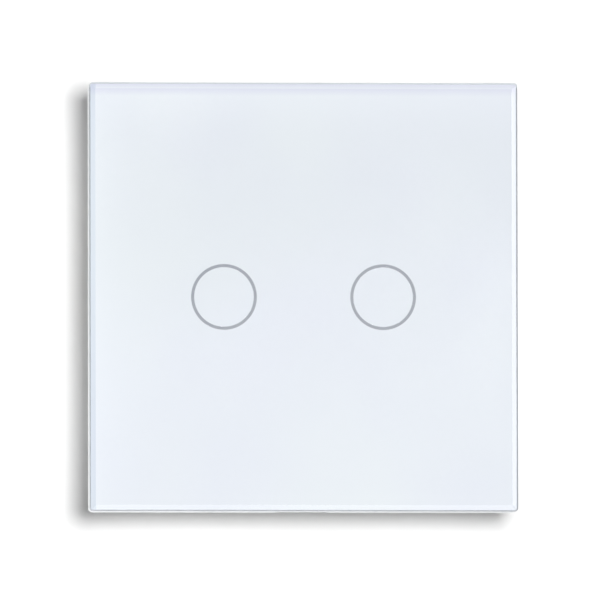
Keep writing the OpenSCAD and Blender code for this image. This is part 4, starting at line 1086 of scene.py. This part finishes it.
# %% [markdown]
# ## Chip resistors and solder
# A chip resistor is a ceramic block with a tinned cap on each end. Each link pin ends in a fillet of solder
# that climbs it. Both are set by the same recipe as the screws.

# %% Chip resistors and solder


def rounded_block(name, size, width):
    shape = bmesh.new()
    bmesh.ops.create_cube(shape, size=1, matrix=Matrix.Diagonal((*size, 1)))
    bmesh.ops.bevel(shape, geom=shape.edges[:], offset=width, **ROUNDING)
    return pattern(name, shape)


chips = islands("touch_passives")
chip_size = chips[0][1] - chips[0][0]
middles = [(low + high) / 2 for low, high in chips]
CAP, CAP_EDGE = 0.32 * MM, 0.06 * MM
BODY_SHORTER, BODY_DEPTH, BODY_HEIGHT, BODY_EDGE = 0.1 * MM, 0.92, 0.94, 0.04 * MM
body_size = (chip_size.x - BODY_SHORTER, chip_size.y * BODY_DEPTH, chip_size.z * BODY_HEIGHT)
body = rounded_block("resistor_body", body_size, BODY_EDGE)
cap = rounded_block("resistor_cap", (CAP, chip_size.y, chip_size.z), CAP_EDGE)
ends = [m + Vector((side * (chip_size.x - CAP) / 2, 0, 0)) for m in middles for side in (-1, 1)]
bodies_mesh = grown("resistor_bodies", set_on_points, middles, Part=body, Turn=0.0, Seed=1,
                    Finish=finishes["chip_ceramic"])
caps_mesh = grown("resistor_caps", set_on_points, ends, Part=cap, Turn=0.0, Seed=1, Finish=solder)
place("resistor_bodies", bodies_mesh, "base", "chip_ceramic", "touch_passives")
place("resistor_caps", caps_mesh, "base", "tinned_brass")

board_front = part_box("touch_board")[0].y
FILLET = (0.85 * MM, 0), (0.6 * MM, 0.1 * MM), (0.45 * MM, 0.28 * MM), (0.38 * MM, 0.55 * MM)
fillet = pattern("fillet", lofted([[(x, -y, z) for x, z in circle(radius)] for radius, y in FILLET]))
tails = [((low.x + high.x) / 2, board_front, (low.z + high.z) / 2) for low, high in islands("link_pins")]
fillets_mesh = grown("pin_solder", set_on_points, tails, Part=fillet, Turn=1.0, Seed=5, Finish=solder)
place("pin_solder", fillets_mesh, "base", "tinned_brass")
print(len(middles), "resistors,", len(tails), "fillets")

# %% [markdown]
# ## Touch springs
# The touch springs are gilt wire: a leg through the board, a bend, rising turns and a flat coil that presses
# on the back of the print. Each is one unbroken line of points that repeats the CAD path, and the wire recipe
# gives it a rounder section.

# %% Touch springs
WIRE, BEND, LEG = 0.5 * MM, 0.6 * MM, 1.6 * MM
LOW, TOP = 0.85 * MM, 2.9 * MM
RISING, FLAT, TURN_IN = 1.75, 0.75, 1.2 * MM
COIL_R = 4.45 * MM
BEND_STEPS, TURN_STEPS = 9, 48


def spring_path(middle_x):
    """Points of the spring's middle line, from the end of its leg to the end of its coil."""
    path = [(COIL_R, -BEND, -LEG), (COIL_R, -BEND, -LEG / 2), (COIL_R, -BEND, 0)]
    for i in range(BEND_STEPS):
        a = math.pi / 2 * i / BEND_STEPS
        path.append((COIL_R, -BEND * math.cos(a), WIRE / 2 + BEND * math.sin(a)))
    for i in range(round((RISING + FLAT) * TURN_STEPS) + 1):
        u = i / TURN_STEPS
        r = COIL_R - TURN_IN * max(0, u - RISING) / FLAT
        rise = LOW + (TOP - LOW) * min(1, u / RISING)
        path.append((r * math.cos(2 * math.pi * u), r * math.sin(2 * math.pi * u), rise))
    return [(middle_x + x, board_front - height, z) for x, z, height in path]


for side in ("left", "right"):
    node = "touch_spring_" + side
    guide_low, guide_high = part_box("light_guide_" + side)
    path = spring_path((guide_low.x + guide_high.x) / 2)
    mesh = grown(node + "_wire", bent_wire, path, [(i, i + 1) for i in range(len(path) - 1)], Thickness=WIRE,
                 Finish=finishes["gilt_spring"])
    spring = place(node + "_wire", mesh, "base", "gilt_spring", node)

# %% [markdown]
# ## Light for the rear
# The lamps in front would leave the rear dark in views from the back, so two more shine on the pieces behind
# the glass alone: one from behind and above, and one from the right, which sets the cover's side off from its
# shadow. None of their light reaches the glass or the backdrop.

# %% Rear lamps
REAR_SPREAD = math.radians(40)
REAR_PIECES = ["rear_cover_soft", "cover_screws_set", "terminal_housings_soft", "base_plate_soft",
               "panel_frame_soft"]
REAR_PIECES += ["terminal_screw_%d_soft" % i for i in (1, 2, 3, 4)]
rear = lamp("rear", "SUN", (-0.5, 1, 0.8), ORIGIN, power=1.4, angle=REAR_SPREAD)
from_right = lamp("side", "SUN", (1, -0.35, 0.4), ORIGIN, power=0.8, angle=REAR_SPREAD)
for light in (rear, from_right):
    lit_only(light, *[bpy.data.objects[n] for n in REAR_PIECES])
print("two lamps on", len(REAR_PIECES), "pieces")
